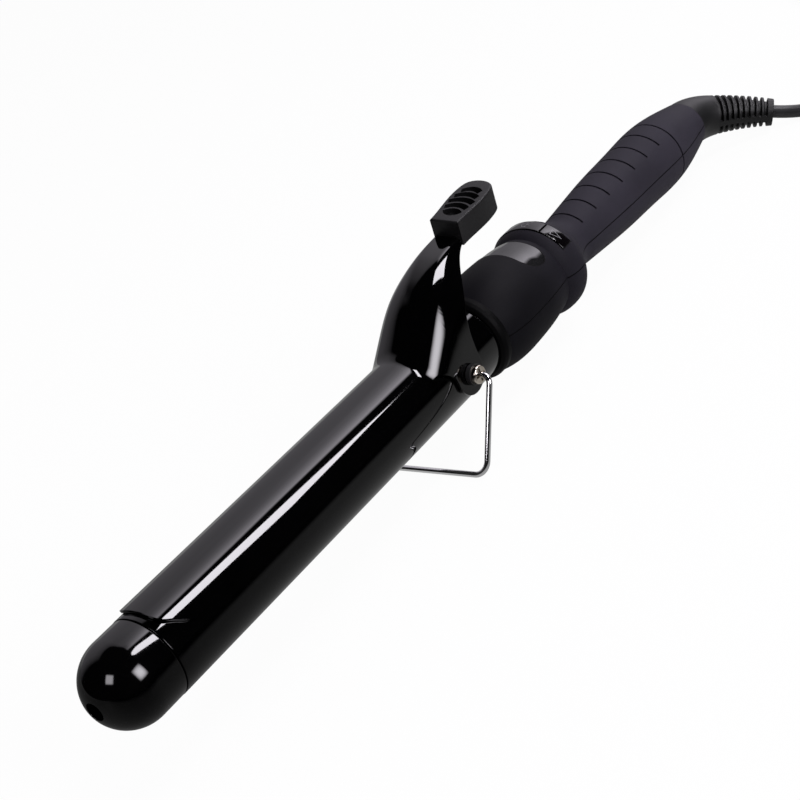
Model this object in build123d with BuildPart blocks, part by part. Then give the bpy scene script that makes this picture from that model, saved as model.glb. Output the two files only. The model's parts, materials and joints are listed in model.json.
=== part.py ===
"""Curling iron: heated barrel, sprung hair clip, wire stand, two-shell handle and swivelling cord."""

import math
import os

from build123d import *

os.makedirs("parts", exist_ok=True)

# Everything but the cord is drawn in the iron's own frame, in millimetres: X along the barrel with the handle
# on +X, Z up through the clip, and the clip's pivot at the origin. The last step carries it to the table.

# Fits
fit = 0.05  # gap between pieces that are fixed together
run = 0.08  # radial gap of a pin that turns in its bore
free = 0.3  # gap between pieces that move past each other
parting = 0.16  # seam between the two handle shells

# Barrel and tip
barrel_r = 16.0
barrel_wall = 1.0
barrel_front = -168.2
barrel_rear = 40.0
tip_r = 15.9
tip_straight = 9.6
tip_seam = 0.4
tip_spigot = 7.0
tip_hole_r = 3.5
tip_hole_depth = 8.0
tip_skin = 2.4
tip_screw_r = 1.5
tip_screw_head_r = 2.8
tip_screw_head = 2.0
anchor_long = 4.0

# Heater inside the barrel
heater_front = -146.0
heater_rear = -24.0
heater_wide = 16.0
heater_thick = 4.0
spreader_hole_r = 3.0
lead_r = 0.9
lead_y = 5.0
lead_z = 7.0

# Pivot
pivot_bar_r = 3.5
ear_gap = 0.35
sheet = 1.05
bush_r = 4.2
bush_long = 1.9
head_r = 3.6
head_thick = 2.2
shoulder_r = 2.5
thread_r = 2.0
thread_long = 7.0

# Hair clip
clip_front = -165.8
crease = -19.0
clip_edge_front = 8.8
clip_edge_rear = 7.2
ear_r = 8.0
lever_rear = 32.3
lever_top = 41.6
lever_half = 6.8
lever_twist = 8.0
tongue_long = 11.0
tongue_half = 3.6

# Thumb tab
tab_long = 29.3
tab_half = 7.7
tab_high = 10.45
tab_low = 38.4
tab_pitch = 4.8
slot_half = 6.2
slot_up = 2.2
slot_down = 0.8
slot_deep = 2.0
slot_first = 6.5
slot_pitch = 3.85

# Stand
wire_r = 1.15
stand_half = 26.0
stand_leg = 37.7
stand_lean = 32.7
stand_top_bend = 3.6
stand_foot_bend = 5.5
wire_in_head = 2.9

# Clip spring
leaf_thick = 0.6
leaf_half = 4.0
rivet_x = 13.0
rivet_r = 1.2

# Handle
rim_front = 21.7
rim_over = 2.35
rim_r = barrel_r + rim_over
rim_long = 4.9
shell_front = 26.9
bush_front = 35.9
bush_wall = 1.3
body_r = 20.6
valley_x = 72.2
valley_r = 18.3
ring_x = 79.8
ring_r = 20.65
waist_x = 104.0
waist_r = 12.4
grip_x = 183.0
grip_r = 16.2
tail_x = 214.4
tail_r = 11.7
shell_wall = 2.0
groove_wide = 1.0
groove_deep = 0.7
groove_half_angle = 50.0
groove_first = 105.3
groove_pitch = 11.2
groove_count = 7

# Display window and keys
window_front = 56.0
window_rear = 69.4
window_half = 15.4
window_round = 5.5
window_thick = 1.2
key_front = 77.0
key_rear = 83.4
key_split = 23.2
key_end = 57.8
key_proud = 0.15
key_thick = 2.05
key_travel = 0.9
key_gap = 0.25
key_split_gap = 1.4

# Shell screws and inner pieces
screw_x = (50.0, 150.0)
boss_r = 3.6
screw_r = 1.5
screw_head_r = 3.0
screw_head = 2.0
screw_seat = -11.0
board_front = 58.0
board_rear = 128.0
board_half = 8.0
board_thick = 1.6
board_z = -3.0

# Swivel and strain relief
neck_r = 7.5
wall_x = 208.6
collar_r = 9.0
collar_long = 3.6
rotor_front = 186.0
rotor_r = 4.5
ring_wide = 2.6
ring_thick = 0.9
boot_r = 11.3
boot_rib_r = 8.9
boot_tip_r = 5.9
boot_roll = 20.1
boot_elbow = 19.0
boot_ribs = 29.0
boot_elbow_turn = 44.0
boot_tip_turn = 66.0
rib_count = 9
rib_slot = 1.5
rib_deep = 1.7
rib_web = 1.3

# Cord, coil and plug, laid on the table
cord_r = 3.0
boot_over_table = 1.7
cord_over_table = 0.1
cord_runs = (20.0, 20.0, 38.0, 56.0, 48.0)
cord_bends = (0.0, 0.5, 1.0, 1.03, 1.0)
coil_out = 45.3
coil_in = 24.0
coil_turns = 3.25
coil_lift = 1.0
layer_gap = 0.55
coil_dip = 1.7
coil_last_in = 10.0
tie_wide = 8.0
tie_thick = 0.6
plug_long = 34.0
plug_wide = 28.0
plug_high = 14.0
pin_r = 2.0
pin_long = 19.0
pin_apart = 18.6
pin_root_r = 1.5
pin_root_long = 13.0

clip_in = barrel_r + ear_gap
clip_out = clip_in + sheet
tip_dome = barrel_front - tip_seam - tip_straight
tip_apex = tip_dome - tip_r
ear_face = clip_out
bush_near = ear_face + free
head_near = bush_near + bush_long
head_face = head_near + head_thick
barrel_in = barrel_r - barrel_wall

key_high = ring_r + key_proud
key_low = key_high - key_thick
key_floor = key_low - key_travel

pieces = {}

# Barrel: a coated tube with cross holes for the pivot bar and one hole for the spring's rivet
with BuildPart() as barrel_tube:
    with BuildSketch(Plane.YZ.offset(barrel_front)):
        Circle(barrel_r)
        Circle(barrel_in, mode=Mode.SUBTRACT)
    extrude(amount=barrel_rear - barrel_front)
    with BuildSketch(Plane.XZ):
        Circle(pivot_bar_r + fit)
    extrude(amount=2 * barrel_r, both=True, mode=Mode.SUBTRACT)
    with BuildSketch(Plane.XY):
        with Locations((rivet_x, 0)):
            Circle(rivet_r + fit)
    extrude(amount=2 * barrel_r, mode=Mode.SUBTRACT)
pieces["barrel_tube"] = barrel_tube

# Tip: a domed cap with a spigot in the barrel, hollow round a screw boss, and a screw hole in its apex
with BuildPart() as tip_cap:
    with BuildSketch(Plane.XY):
        with BuildLine():
            Polyline(
                (tip_apex, 0),
                (barrel_front + tip_spigot, 0),
                (barrel_front + tip_spigot, barrel_in - fit),
                (barrel_front - tip_seam, barrel_in - fit),
                (barrel_front - tip_seam, tip_r),
                (tip_dome, tip_r),
            )
            RadiusArc((tip_dome, tip_r), (tip_apex, 0), -tip_r)
        make_face()
    revolve(axis=Axis.X)
    with BuildSketch(Plane.YZ.offset(tip_dome)):
        Circle(barrel_in - tip_skin)
        Circle(tip_hole_r + tip_skin, mode=Mode.SUBTRACT)
    extrude(amount=barrel_front + tip_spigot - tip_dome, mode=Mode.SUBTRACT)
    with BuildSketch(Plane.YZ.offset(tip_apex - 1)):
        Circle(tip_hole_r)
    extrude(amount=tip_hole_depth + 1, mode=Mode.SUBTRACT)
    with BuildSketch(Plane.YZ.offset(tip_apex)):
        Circle(tip_screw_r + fit)
    extrude(amount=barrel_front + tip_spigot - tip_apex, mode=Mode.SUBTRACT)
pieces["tip_cap"] = tip_cap

# Anchor: the disc inside the barrel that the tip's screw threads into
anchor_x = barrel_front + tip_spigot + fit
with BuildPart() as tip_anchor:
    with BuildSketch(Plane.YZ.offset(anchor_x)):
        Circle(barrel_in - fit)
        Circle(tip_screw_r + fit, mode=Mode.SUBTRACT)
    extrude(amount=anchor_long)
pieces["tip_anchor"] = tip_anchor

# Screw that holds the tip, with a cross recess
with BuildPart() as tip_screw:
    with BuildSketch(Plane.YZ.offset(tip_apex + tip_hole_depth - fit)):
        Circle(tip_screw_head_r)
    extrude(amount=-tip_screw_head)
    with BuildSketch(Plane.YZ.offset(tip_apex + tip_hole_depth - fit)):
        Circle(tip_screw_r)
    extrude(amount=anchor_x + anchor_long - tip_apex - tip_hole_depth)
    with BuildSketch(Plane.YZ.offset(tip_apex + tip_hole_depth - fit - tip_screw_head)):
        Rectangle(1.5 * tip_screw_head_r, 0.3 * tip_screw_head_r)
        Rectangle(0.3 * tip_screw_head_r, 1.5 * tip_screw_head_r)
    extrude(amount=0.5 * tip_screw_head, mode=Mode.SUBTRACT)
pieces["tip_screw"] = tip_screw

# Heater: a ceramic plate between two half-round spreaders that fill the barrel
flat = heater_thick / 2 + fit
with BuildPart() as heater_plate:
    with BuildSketch(Plane.YZ.offset(heater_front)):
        Rectangle(heater_wide, heater_thick)
    extrude(amount=heater_rear - heater_front)
pieces["heater_plate"] = heater_plate

with BuildPart() as spreader_upper:
    with BuildSketch(Plane.YZ.offset(heater_front)):
        Circle(barrel_in - fit)
        with Locations((0, flat - barrel_r)):
            Rectangle(2 * barrel_r, 2 * barrel_r, mode=Mode.SUBTRACT)
        with Locations((-heater_wide / 2, barrel_in / 2), (heater_wide / 2, barrel_in / 2)):
            Circle(spreader_hole_r, mode=Mode.SUBTRACT)
    extrude(amount=heater_rear - heater_front)
pieces["spreader_upper"] = spreader_upper

with BuildPart() as spreader_lower:
    with BuildSketch(Plane.YZ.offset(heater_front)):
        Circle(barrel_in - fit)
        with Locations((0, barrel_r - flat)):
            Rectangle(2 * barrel_r, 2 * barrel_r, mode=Mode.SUBTRACT)
        with Locations((-heater_wide / 2, -barrel_in / 2), (heater_wide / 2, -barrel_in / 2)):
            Circle(spreader_hole_r, mode=Mode.SUBTRACT)
    extrude(amount=heater_rear - heater_front)
pieces["spreader_lower"] = spreader_lower

with BuildPart() as thermistor:
    with BuildSketch(Plane.YZ.offset((heater_front + heater_rear) / 2)):
        with Locations((heater_wide / 2, barrel_in / 2)):
            Circle(spreader_hole_r - fit)
    extrude(amount=4 * spreader_hole_r)
pieces["thermistor"] = thermistor

# Two leads that run from the heater over the pivot bar into the handle
lead_end = board_front - 4
for side, label in ((-1, "heater_lead_near"), (1, "heater_lead_far")):
    with BuildPart() as heater_lead:
        with BuildLine() as lead_path:
            FilletPolyline(
                (heater_rear + fit, side * lead_y, 0),
                (heater_rear + 7, side * lead_y, 0),
                (heater_rear + 7 + lead_z, side * lead_y, lead_z),
                (lead_end, side * lead_y, lead_z),
                radius=3 * lead_r,
            )
        with BuildSketch(Plane.YZ.offset(heater_rear + fit)):
            with Locations((side * lead_y, 0)):
                Circle(lead_r)
        sweep()
    pieces[label] = heater_lead

# Thermal fuse in line with the far lead
with BuildPart() as thermal_fuse:
    with BuildSketch(Plane.YZ.offset(lead_end + fit)):
        with Locations((lead_y, lead_z)):
            Circle(2 * lead_r)
    extrude(amount=12 * lead_r)
pieces["thermal_fuse"] = thermal_fuse

# Pivot bar: crosses the barrel and takes both pivot screws
with BuildPart() as pivot_bar:
    with BuildSketch(Plane.XZ):
        Circle(pivot_bar_r)
        Circle(thread_r + fit, mode=Mode.SUBTRACT)
    extrude(amount=barrel_r, both=True)
pieces["pivot_bar"] = pivot_bar

# Pivot screws: head with a cross recess and the hole that holds the stand's wire
for side, label in ((-1, "pivot_screw_near"), (1, "pivot_screw_far")):
    out = Plane((0, 0, 0), x_dir=(1, 0, 0), z_dir=(0, side, 0))
    with BuildPart() as pivot_screw:
        with BuildSketch(out.offset(barrel_r + fit)):
            Circle(shoulder_r)
        extrude(amount=head_near + fit - barrel_r - fit)
        with BuildSketch(out.offset(barrel_r + fit)):
            Circle(thread_r)
        extrude(amount=-thread_long)
        with BuildSketch(out.offset(head_near + fit)):
            Circle(head_r)
        extrude(amount=head_thick - fit)
        fillet(pivot_screw.faces().sort_by(Axis((0, 0, 0), (0, side, 0)))[-1].edges(), 0.3 * head_thick)
        with BuildSketch(out.offset(head_face)):
            Rectangle(1.5 * head_r, 0.26 * head_r)
            Rectangle(0.26 * head_r, 1.5 * head_r)
        extrude(amount=-0.45 * head_thick, mode=Mode.SUBTRACT)
        with BuildSketch(out.offset(head_face)):
            Circle(wire_r + run)
        extrude(amount=-wire_in_head - free, mode=Mode.SUBTRACT)
    pieces[label] = pivot_screw

# Bushes between the clip's ears and the screw heads
for side, label in ((-1, "pivot_bush_near"), (1, "pivot_bush_far")):
    out = Plane((0, 0, 0), x_dir=(1, 0, 0), z_dir=(0, side, 0))
    with BuildPart() as pivot_bush:
        with BuildSketch(out.offset(bush_near)):
            Circle(bush_r)
            Circle(shoulder_r + fit, mode=Mode.SUBTRACT)
        extrude(amount=bush_long)
    pieces[label] = pivot_bush


# The lever, station by station: how far along it is, how high its crown, and half its width at the shoulder
lever_along = (0.0, 0.18, 0.37, 0.56, 0.78, 1.0)
lever_rise = (0.0, 0.335, 0.665, 0.855, 0.97, 1.0)
lever_taper = (1.0, 0.89, 0.77, 0.655, 0.52, lever_half / clip_out)


def lever_section(share, rise, taper, inset):
    """Draw one cross-section: straight ears, sides that lean in, and a crown slanted by the twist."""
    wide = clip_out - inset
    waist = 9.0 * min(1.0, share / 0.37)
    crown = clip_out + rise * (lever_top - clip_out) - 1.2 * inset
    if share == 0:
        crown = clip_out - inset
    shoulder = (taper * clip_out - inset) * (1 - 0.293 * (1 - share))
    drop = 0.293 * wide * (1 - share) + 3.0 * share
    level = 0.3 + 4.2 * share
    slant = share * math.tan(math.radians(lever_twist))
    brow = slant * level
    brim = slant * shoulder
    Polyline((-wide, waist), (-wide, -ear_r - 2), (wide, -ear_r - 2), (wide, waist))
    Spline(
        (wide, waist),
        (shoulder, crown - drop + brim),
        (level, crown + brow),
        tangents=((0, 1), (-1, -slant)),
    )
    Line((level, crown + brow), (-level, crown - brow))
    Spline(
        (-level, crown - brow),
        (-shoulder, crown - drop - brim),
        (-wide, waist),
        tangents=((-1, -slant), (0, -1)),
    )


# Side view of the clip: front edge, lower edge, ear round the pivot, and the lever's rear edge up to the tab
edge_run = (0.0, -0.03, -0.02, 0.07, 0.235, 0.41, 0.61, 0.8, 1.0)
edge_rise = (0.0, 0.2, 0.36, 0.52, 0.66, 0.777, 0.88, 0.95, 1.0)
edge_top = lever_top - 3.0
rear_edge = [(ear_r + a * (lever_rear - ear_r), b * edge_top) for a, b in zip(edge_run, edge_rise)]
ear_start = (-0.95 * ear_r, -0.312 * ear_r)

# Hair clip: one sheet that hugs the barrel, breaks upward into the humped lever and drops two ears to the
# pivot
with BuildPart() as clip_plate:
    for share, rise, taper in zip(lever_along, lever_rise, lever_taper):
        with BuildSketch(Plane.YZ.offset(crease + share * (lever_rear - crease))):
            with BuildLine():
                lever_section(share, rise, taper, 0)
            make_face()
    loft()
    with BuildSketch(Plane.YZ.offset(crease)):
        with BuildLine():
            lever_section(0, 0, 1, 0)
        make_face()
    extrude(amount=clip_front - crease)
    for share, rise, taper in zip(lever_along, lever_rise, lever_taper):
        with BuildSketch(Plane.YZ.offset(crease + share * (lever_rear - crease))):
            with BuildLine():
                lever_section(share, rise, taper, sheet)
            make_face()
    loft(mode=Mode.SUBTRACT)
    with BuildSketch(Plane.YZ.offset(crease)):
        with BuildLine():
            lever_section(0, 0, 1, sheet)
        make_face()
    extrude(amount=clip_front - crease, mode=Mode.SUBTRACT)
    with BuildSketch(Plane.XZ):
        with BuildLine():
            Polyline(
                rear_edge[-1],
                (lever_rear, lever_top + 5),
                (clip_front, lever_top + 5),
                (clip_front, clip_out),
            )
            Spline(
                (clip_front, clip_out),
                (clip_front + 1.2, clip_out - 2.4),
                (clip_front + 4.9, clip_out - 5.1),
                (clip_front + 11, clip_edge_front),
                tangents=((0, -1), (1, -0.02)),
            )
            Line((clip_front + 11, clip_edge_front), (crease - 9, clip_edge_rear))
            Spline(
                (crease - 9, clip_edge_rear),
                (crease - 1, clip_edge_rear + 1.9),
                (crease + 5, clip_edge_rear + 1.2),
                (crease + 9.6, clip_edge_rear - 3),
                ear_start,
                tangents=((1, 0), (0.312, -0.95)),
            )
            ThreePointArc(ear_start, (0, -ear_r), (ear_r, 0))
            Spline(*rear_edge, tangents=((0, 1), (1, 0.35)))
        make_face()
    extrude(amount=3 * barrel_r, both=True, mode=Mode.INTERSECT)
    with BuildSketch(Plane.XZ):
        Circle(shoulder_r + run)
    extrude(amount=3 * barrel_r, both=True, mode=Mode.SUBTRACT)
    with BuildSketch(Plane.YZ.offset(lever_rear - 2.5)):
        with Locations((0, lever_top - 0.7 * sheet)):
            Rectangle(2 * tongue_half, sheet)
    extrude(amount=2.5 + tongue_long)
pieces["clip_plate"] = clip_plate

# Thumb tab: a block on the lever's tongue, square in front, full-sided and rounded behind, rolled with the
# lever's twist toward the near side, and with five crescent slots on top
tab_front = lever_rear + 0.5
pitch = math.radians(tab_pitch)
tab_base = Plane(
    (tab_front, 0, tab_low),
    x_dir=(math.cos(pitch), 0, math.sin(pitch)),
    z_dir=(-math.sin(pitch), 0, math.cos(pitch)),
).rotated((lever_twist, 0, 0))
tab_along = (0.0, 0.28, 0.55, 0.77, 0.92)
tab_swell = (0.855, 0.92, 1.0, 0.95, 0.75)
tab_side = [(a * tab_long, b * tab_half) for a, b in zip(tab_along, tab_swell)]
with BuildPart() as thumb_tab:
    with BuildSketch(tab_base):
        with BuildLine():
            Spline(*tab_side, (tab_long, 0), *[(x, -y) for x, y in reversed(tab_side)])
            Line((0, -tab_side[0][1]), (0, tab_side[0][1]))
        make_face()
    extrude(amount=tab_high)
    tab_top = thumb_tab.faces().sort_by(Axis((0, 0, 0), tab_base.z_dir))[-1]
    fillet(tab_top.edges(), 0.8)
    for i in range(5):
        mid = slot_first + i * slot_pitch
        reach = slot_half * (0.72, 0.9, 1.0, 0.92, 0.77)[i]
        down = slot_down * (3.4, 1.0, 1.0, 1.0, 1.0)[i]
        with BuildSketch(tab_base.offset(tab_high)):
            with BuildLine():
                ThreePointArc((mid, -reach), (mid - down, 0), (mid, reach))
                ThreePointArc((mid, reach), (mid + slot_up, 0), (mid, -reach))
            make_face()
        extrude(amount=-slot_deep, mode=Mode.SUBTRACT)
    with BuildSketch(Plane.YZ.offset(lever_rear - 1)):
        with Locations((0, lever_top - 0.7 * sheet)):
            Rectangle(2 * (tongue_half + fit), sheet + 2 * fit)
    extrude(amount=tongue_long + 1 + free, mode=Mode.SUBTRACT)
pieces["thumb_tab"] = thumb_tab

# Stand: one wire bent to a U, its ends turned in to enter the screw heads
lean = math.radians(stand_lean)
stand_plane = Plane((0, 0, 0), x_dir=(0, 1, 0), z_dir=(math.cos(lean), 0, -math.sin(lean)))
wire_end = head_face - wire_in_head
with BuildPart() as stand_wire:
    with BuildLine(stand_plane):
        FilletPolyline(
            (-wire_end, 0),
            (-stand_half, 0),
            (-stand_half, -stand_leg),
            (stand_half, -stand_leg),
            (stand_half, 0),
            (wire_end, 0),
            radius=[stand_top_bend, stand_foot_bend, stand_foot_bend, stand_top_bend],
        )
    with BuildSketch(Plane((0, -wire_end, 0), z_dir=(0, -1, 0))):
        Circle(wire_r)
    sweep()
pieces["stand_wire"] = stand_wire

# Clip spring: a bent leaf riveted to the barrel that pushes up under the lever
leaf_z = barrel_r + free + leaf_thick / 2
leaf_top = clip_out + 0.8 * (lever_top - clip_out) - 1.5 * sheet - free
with BuildPart() as clip_spring:
    with BuildSketch(Plane.XZ):
        with BuildLine():
            FilletPolyline(
                (rivet_x + 5, leaf_z),
                (-1.5, leaf_z),
                (rivet_x - 2, leaf_top - leaf_thick),
                radius=3.2,
            )
        trace(line_width=leaf_thick)
    extrude(amount=leaf_half, both=True)
    with BuildSketch(Plane.XY):
        with Locations((rivet_x, 0)):
            Circle(rivet_r + fit)
    extrude(amount=leaf_z + leaf_thick, mode=Mode.SUBTRACT)
pieces["clip_spring"] = clip_spring

with BuildPart() as spring_rivet:
    with BuildSketch(Plane.XY.offset(barrel_in - 1)):
        with Locations((rivet_x, 0)):
            Circle(rivet_r)
    extrude(amount=leaf_z + leaf_thick / 2 + 0.1 - barrel_in + 1)
    with BuildSketch(Plane.XY.offset(leaf_z + leaf_thick / 2 + fit)):
        with Locations((rivet_x, 0)):
            Circle(2 * rivet_r)
    extrude(amount=leaf_thick)
pieces["spring_rivet"] = spring_rivet

# Rim ring where the barrel enters the handle
with BuildPart() as front_rim_ring:
    with BuildSketch(Plane.XY):
        with BuildLine():
            Polyline(
                (rim_front + 1.0, rim_r - 0.6),
                (rim_front, barrel_r + 0.55),
                (rim_front, barrel_r + fit),
                (rim_front + rim_long, barrel_r + fit),
                (rim_front + rim_long, rim_r),
                (rim_front + 2.6, rim_r),
            )
            ThreePointArc(
                (rim_front + 2.6, rim_r),
                (rim_front + 1.6, rim_r - 0.2),
                (rim_front + 1.0, rim_r - 0.6),
            )
        make_face()
    revolve(axis=Axis.X)
pieces["front_rim_ring"] = front_rim_ring

# Handle profile: where each radius lies along the axis, outside and inside
body_line = [
    (shell_front, rim_r - 0.7),
    (shell_front + 8, rim_r + 0.75 * (body_r - rim_r)),
    (shell_front + 23, body_r),
    (shell_front + 35, valley_r + 0.66 * (body_r - valley_r)),
    (valley_x, valley_r),
]
ring_line = [
    (valley_x, valley_r),
    (valley_x + 3.3, ring_r - 0.65),
    (ring_x, ring_r),
    (ring_x + 4.6, ring_r - 0.55),
    (ring_x + 10, waist_r + 0.5 * (ring_r - waist_r)),
    (ring_x + 15.5, waist_r + 0.12 * (ring_r - waist_r)),
    (waist_x, waist_r),
]
grip_line = [
    (waist_x, waist_r),
    (waist_x + 16, waist_r + 0.33 * (grip_r - waist_r)),
    (waist_x + 34, waist_r + 0.66 * (grip_r - waist_r)),
    (waist_x + 58, waist_r + 0.86 * (grip_r - waist_r)),
    (grip_x, grip_r),
    (grip_x + 10, grip_r - 0.8),
    (grip_x + 22, tail_r + 0.4 * (grip_r - tail_r)),
    (tail_x, tail_r),
]
outside = body_line + ring_line[1:] + grip_line[1:]


def radius_at(x):
    """Handle radius at x, straight between the drawn points."""
    for (x0, r0), (x1, r1) in zip(outside, outside[1:]):
        if x <= x1:
            return r0 + (r1 - r0) * (x - x0) / (x1 - x0)
    return outside[-1][1]


bore_line = [
    (tail_x, neck_r + free),
    (wall_x, neck_r + free),
    (wall_x, tail_r - shell_wall + 0.6),
    (grip_x + 10, grip_r - 0.8 - shell_wall),
    (grip_x, grip_r - shell_wall),
    (waist_x + 34, radius_at(waist_x + 34) - shell_wall),
    (waist_x, waist_r - shell_wall),
    (ring_x + 13, waist_r - shell_wall + 0.6),
    (ring_x + 7, ring_r - 2.4 * shell_wall),
    (valley_x + 2, ring_r - 2.2 * shell_wall),
    (valley_x, valley_r - shell_wall),
    (shell_front + 23, body_r - shell_wall),
    (barrel_rear + free, barrel_r + bush_wall),
    (bush_front, barrel_r + bush_wall),
    (shell_front, barrel_r + 2 * fit),
]


def draw_shell():
    """Draw the handle's wall on one side of its axis."""
    Spline(*body_line)
    Spline(*ring_line)
    Spline(*grip_line)
    Polyline(grip_line[-1], *bore_line, body_line[0])


def draw_grooves(half_width):
    """Draw the small blocks that the short grooves are turned with, each at its own radius."""
    for i in range(groove_count):
        x = groove_first + i * groove_pitch
        with Locations((x, radius_at(x) + 1 - groove_deep)):
            Rectangle(2 * half_width, 2)


groove_angle = math.radians(90 - groove_half_angle)
upper_cut = Plane(
    (0, 0, 0),
    x_dir=(1, 0, 0),
    z_dir=(0, -math.sin(groove_angle), math.cos(groove_angle)),
)
lower_cut = Plane(
    (0, 0, 0),
    x_dir=(1, 0, 0),
    z_dir=(0, math.sin(groove_angle), -math.cos(groove_angle)),
)
backward = Axis((0, 0, 0), (-1, 0, 0))

# Window opening, as a block with rounded corners that the upper shell loses and the lens keeps
lens_line = [(x, radius_at(x)) for x in (window_front, (window_front + window_rear) / 2, window_rear)]


def draw_band(low, high):
    """Draw the strip of wall under the window, from low to high measured from the handle's surface."""
    first, middle, last = lens_line
    Polyline(
        (first[0] - 1, first[1] + low),
        (first[0] - 1, first[1] + high),
        (middle[0], middle[1] + high),
        (last[0] + 1, last[1] + high),
        (last[0] + 1, last[1] + low),
        (middle[0], middle[1] + low),
        (first[0] - 1, first[1] + low),
    )


window_mid = (window_front + window_rear) / 2
window_long = window_rear - window_front
with BuildPart() as window_cut:
    with BuildSketch(Plane.XY):
        with BuildLine():
            draw_band(-window_thick - fit, 3)
        make_face()
    revolve(axis=Axis.X)
    with BuildSketch(Plane.XY):
        with Locations((window_mid, 0)):
            RectangleRounded(window_long, 2 * window_half, window_round)
    extrude(amount=2 * body_r, mode=Mode.INTERSECT)

with BuildPart() as display_lens:
    with BuildSketch(Plane.XY):
        with BuildLine():
            draw_band(-window_thick, -0.02)
        make_face()
    revolve(axis=Axis.X)
    with BuildSketch(Plane.XY):
        with Locations((window_mid, 0)):
            RectangleRounded(window_long - 0.2, 2 * window_half - 0.2, window_round - 0.1)
    extrude(amount=2 * body_r, mode=Mode.INTERSECT)
pieces["display_lens"] = display_lens


def turned(angle):
    """Plane through the handle's axis whose Y points up, leaning by angle toward the near side."""
    a = math.radians(angle)
    return Plane((0, 0, 0), x_dir=(1, 0, 0), z_dir=(0, -math.cos(a), -math.sin(a)))


# Upper shell: half the turned handle, with grooves, window seat, key slot and two screw bosses
with BuildPart() as handle_upper_shell:
    with BuildSketch(Plane.XY):
        with BuildLine():
            draw_shell()
        make_face()
    revolve(axis=Axis.X, revolution_arc=180)
    for x in screw_x:
        with BuildSketch(Plane.XY):
            with Locations((x, 0)):
                Circle(boss_r)
        extrude(amount=radius_at(x) - 0.5 * shell_wall)
        with BuildSketch(Plane.XY):
            with Locations((x, 0)):
                Circle(screw_r + fit)
        extrude(amount=9 + fit, mode=Mode.SUBTRACT)
    with BuildSketch(upper_cut):
        draw_grooves(groove_wide / 2)
    revolve(axis=Axis.X, revolution_arc=2 * groove_half_angle, mode=Mode.SUBTRACT)
    with BuildSketch(Plane.XY):
        with Locations((grip_x, grip_r + 1 - groove_deep)):
            Rectangle(groove_wide, 2)
    revolve(axis=Axis.X, mode=Mode.SUBTRACT)
    add(window_cut.part, mode=Mode.SUBTRACT)
    with BuildSketch(turned(key_end + 0.6)):
        with Locations(((key_front + key_rear) / 2, key_floor + 3)):
            Rectangle(key_rear - key_front + 2 * key_gap, 6)
    revolve(axis=backward, revolution_arc=2 * key_end + 1.2, mode=Mode.SUBTRACT)
    with BuildSketch(turned(key_end - 6)):
        with Locations(((key_front + key_rear) / 2, key_floor)):
            Rectangle(0.5 * (key_rear - key_front), 6)
    revolve(axis=backward, revolution_arc=2 * key_end - 12, mode=Mode.SUBTRACT)
    with BuildSketch(Plane.XY):
        with Locations(((shell_front + tail_x) / 2, 0)):
            Rectangle(tail_x, 3 * body_r)
    extrude(amount=parting / 2, both=True, mode=Mode.SUBTRACT)
pieces["handle_upper_shell"] = handle_upper_shell

# Lower shell: the other half, with grooves, sunk seats for the two screws and posts under the control board
with BuildPart() as handle_lower_shell:
    with BuildSketch(Plane.XY):
        with BuildLine():
            draw_shell()
        make_face()
    revolve(axis=backward, revolution_arc=180)
    for x in screw_x:
        with BuildSketch(Plane.XY):
            with Locations((x, 0)):
                Circle(boss_r)
        extrude(amount=-radius_at(x) + 0.5 * shell_wall)
        with BuildSketch(Plane.XY):
            with Locations((x, 0)):
                Circle(screw_r + fit)
        extrude(amount=-2 * body_r, mode=Mode.SUBTRACT)
        with BuildSketch(Plane.XY.offset(screw_seat)):
            with Locations((x, 0)):
                Circle(screw_head_r + fit)
        extrude(amount=-2 * body_r, mode=Mode.SUBTRACT)
    board_seat = board_z - board_thick - fit
    for x in (board_front + 6, valley_x):
        with BuildSketch(Plane.XY.offset(board_seat)):
            with Locations((x, 0)):
                Rectangle(3, board_half)
        extrude(amount=-radius_at(x) + shell_wall / 2 - board_seat)
    with BuildSketch(lower_cut):
        draw_grooves(groove_wide / 2)
    revolve(axis=Axis.X, revolution_arc=2 * groove_half_angle, mode=Mode.SUBTRACT)
    with BuildSketch(Plane.XY):
        with Locations((grip_x, grip_r + 1 - groove_deep)):
            Rectangle(groove_wide, 2)
    revolve(axis=Axis.X, mode=Mode.SUBTRACT)
    with BuildSketch(Plane.XY):
        with Locations(((shell_front + tail_x) / 2, 0)):
            Rectangle(tail_x, 3 * body_r)
    extrude(amount=parting / 2, both=True, mode=Mode.SUBTRACT)
pieces["handle_lower_shell"] = handle_lower_shell

for x, label in zip(screw_x, ("shell_screw_front", "shell_screw_rear")):
    with BuildPart() as shell_screw:
        with BuildSketch(Plane.XY.offset(screw_seat - fit)):
            with Locations((x, 0)):
                Circle(screw_head_r)
        extrude(amount=-screw_head)
        with BuildSketch(Plane.XY.offset(screw_seat - fit)):
            with Locations((x, 0)):
                Circle(screw_r)
        extrude(amount=9 - screw_seat)
        with BuildSketch(Plane.XY.offset(screw_seat - fit - screw_head)):
            with Locations((x, 0)):
                Rectangle(1.5 * screw_head_r, 0.3 * screw_head_r)
                Rectangle(0.3 * screw_head_r, 1.5 * screw_head_r)
        extrude(amount=0.5 * screw_head, mode=Mode.SUBTRACT)
    pieces[label] = shell_screw

# Bush that centres the barrel's rear end in the shells
with BuildPart() as barrel_bush:
    with BuildSketch(Plane.YZ.offset(bush_front)):
        Circle(barrel_r + bush_wall - fit)
        Circle(barrel_r + fit, mode=Mode.SUBTRACT)
    extrude(amount=barrel_rear - bush_front)
pieces["barrel_bush"] = barrel_bush

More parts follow.
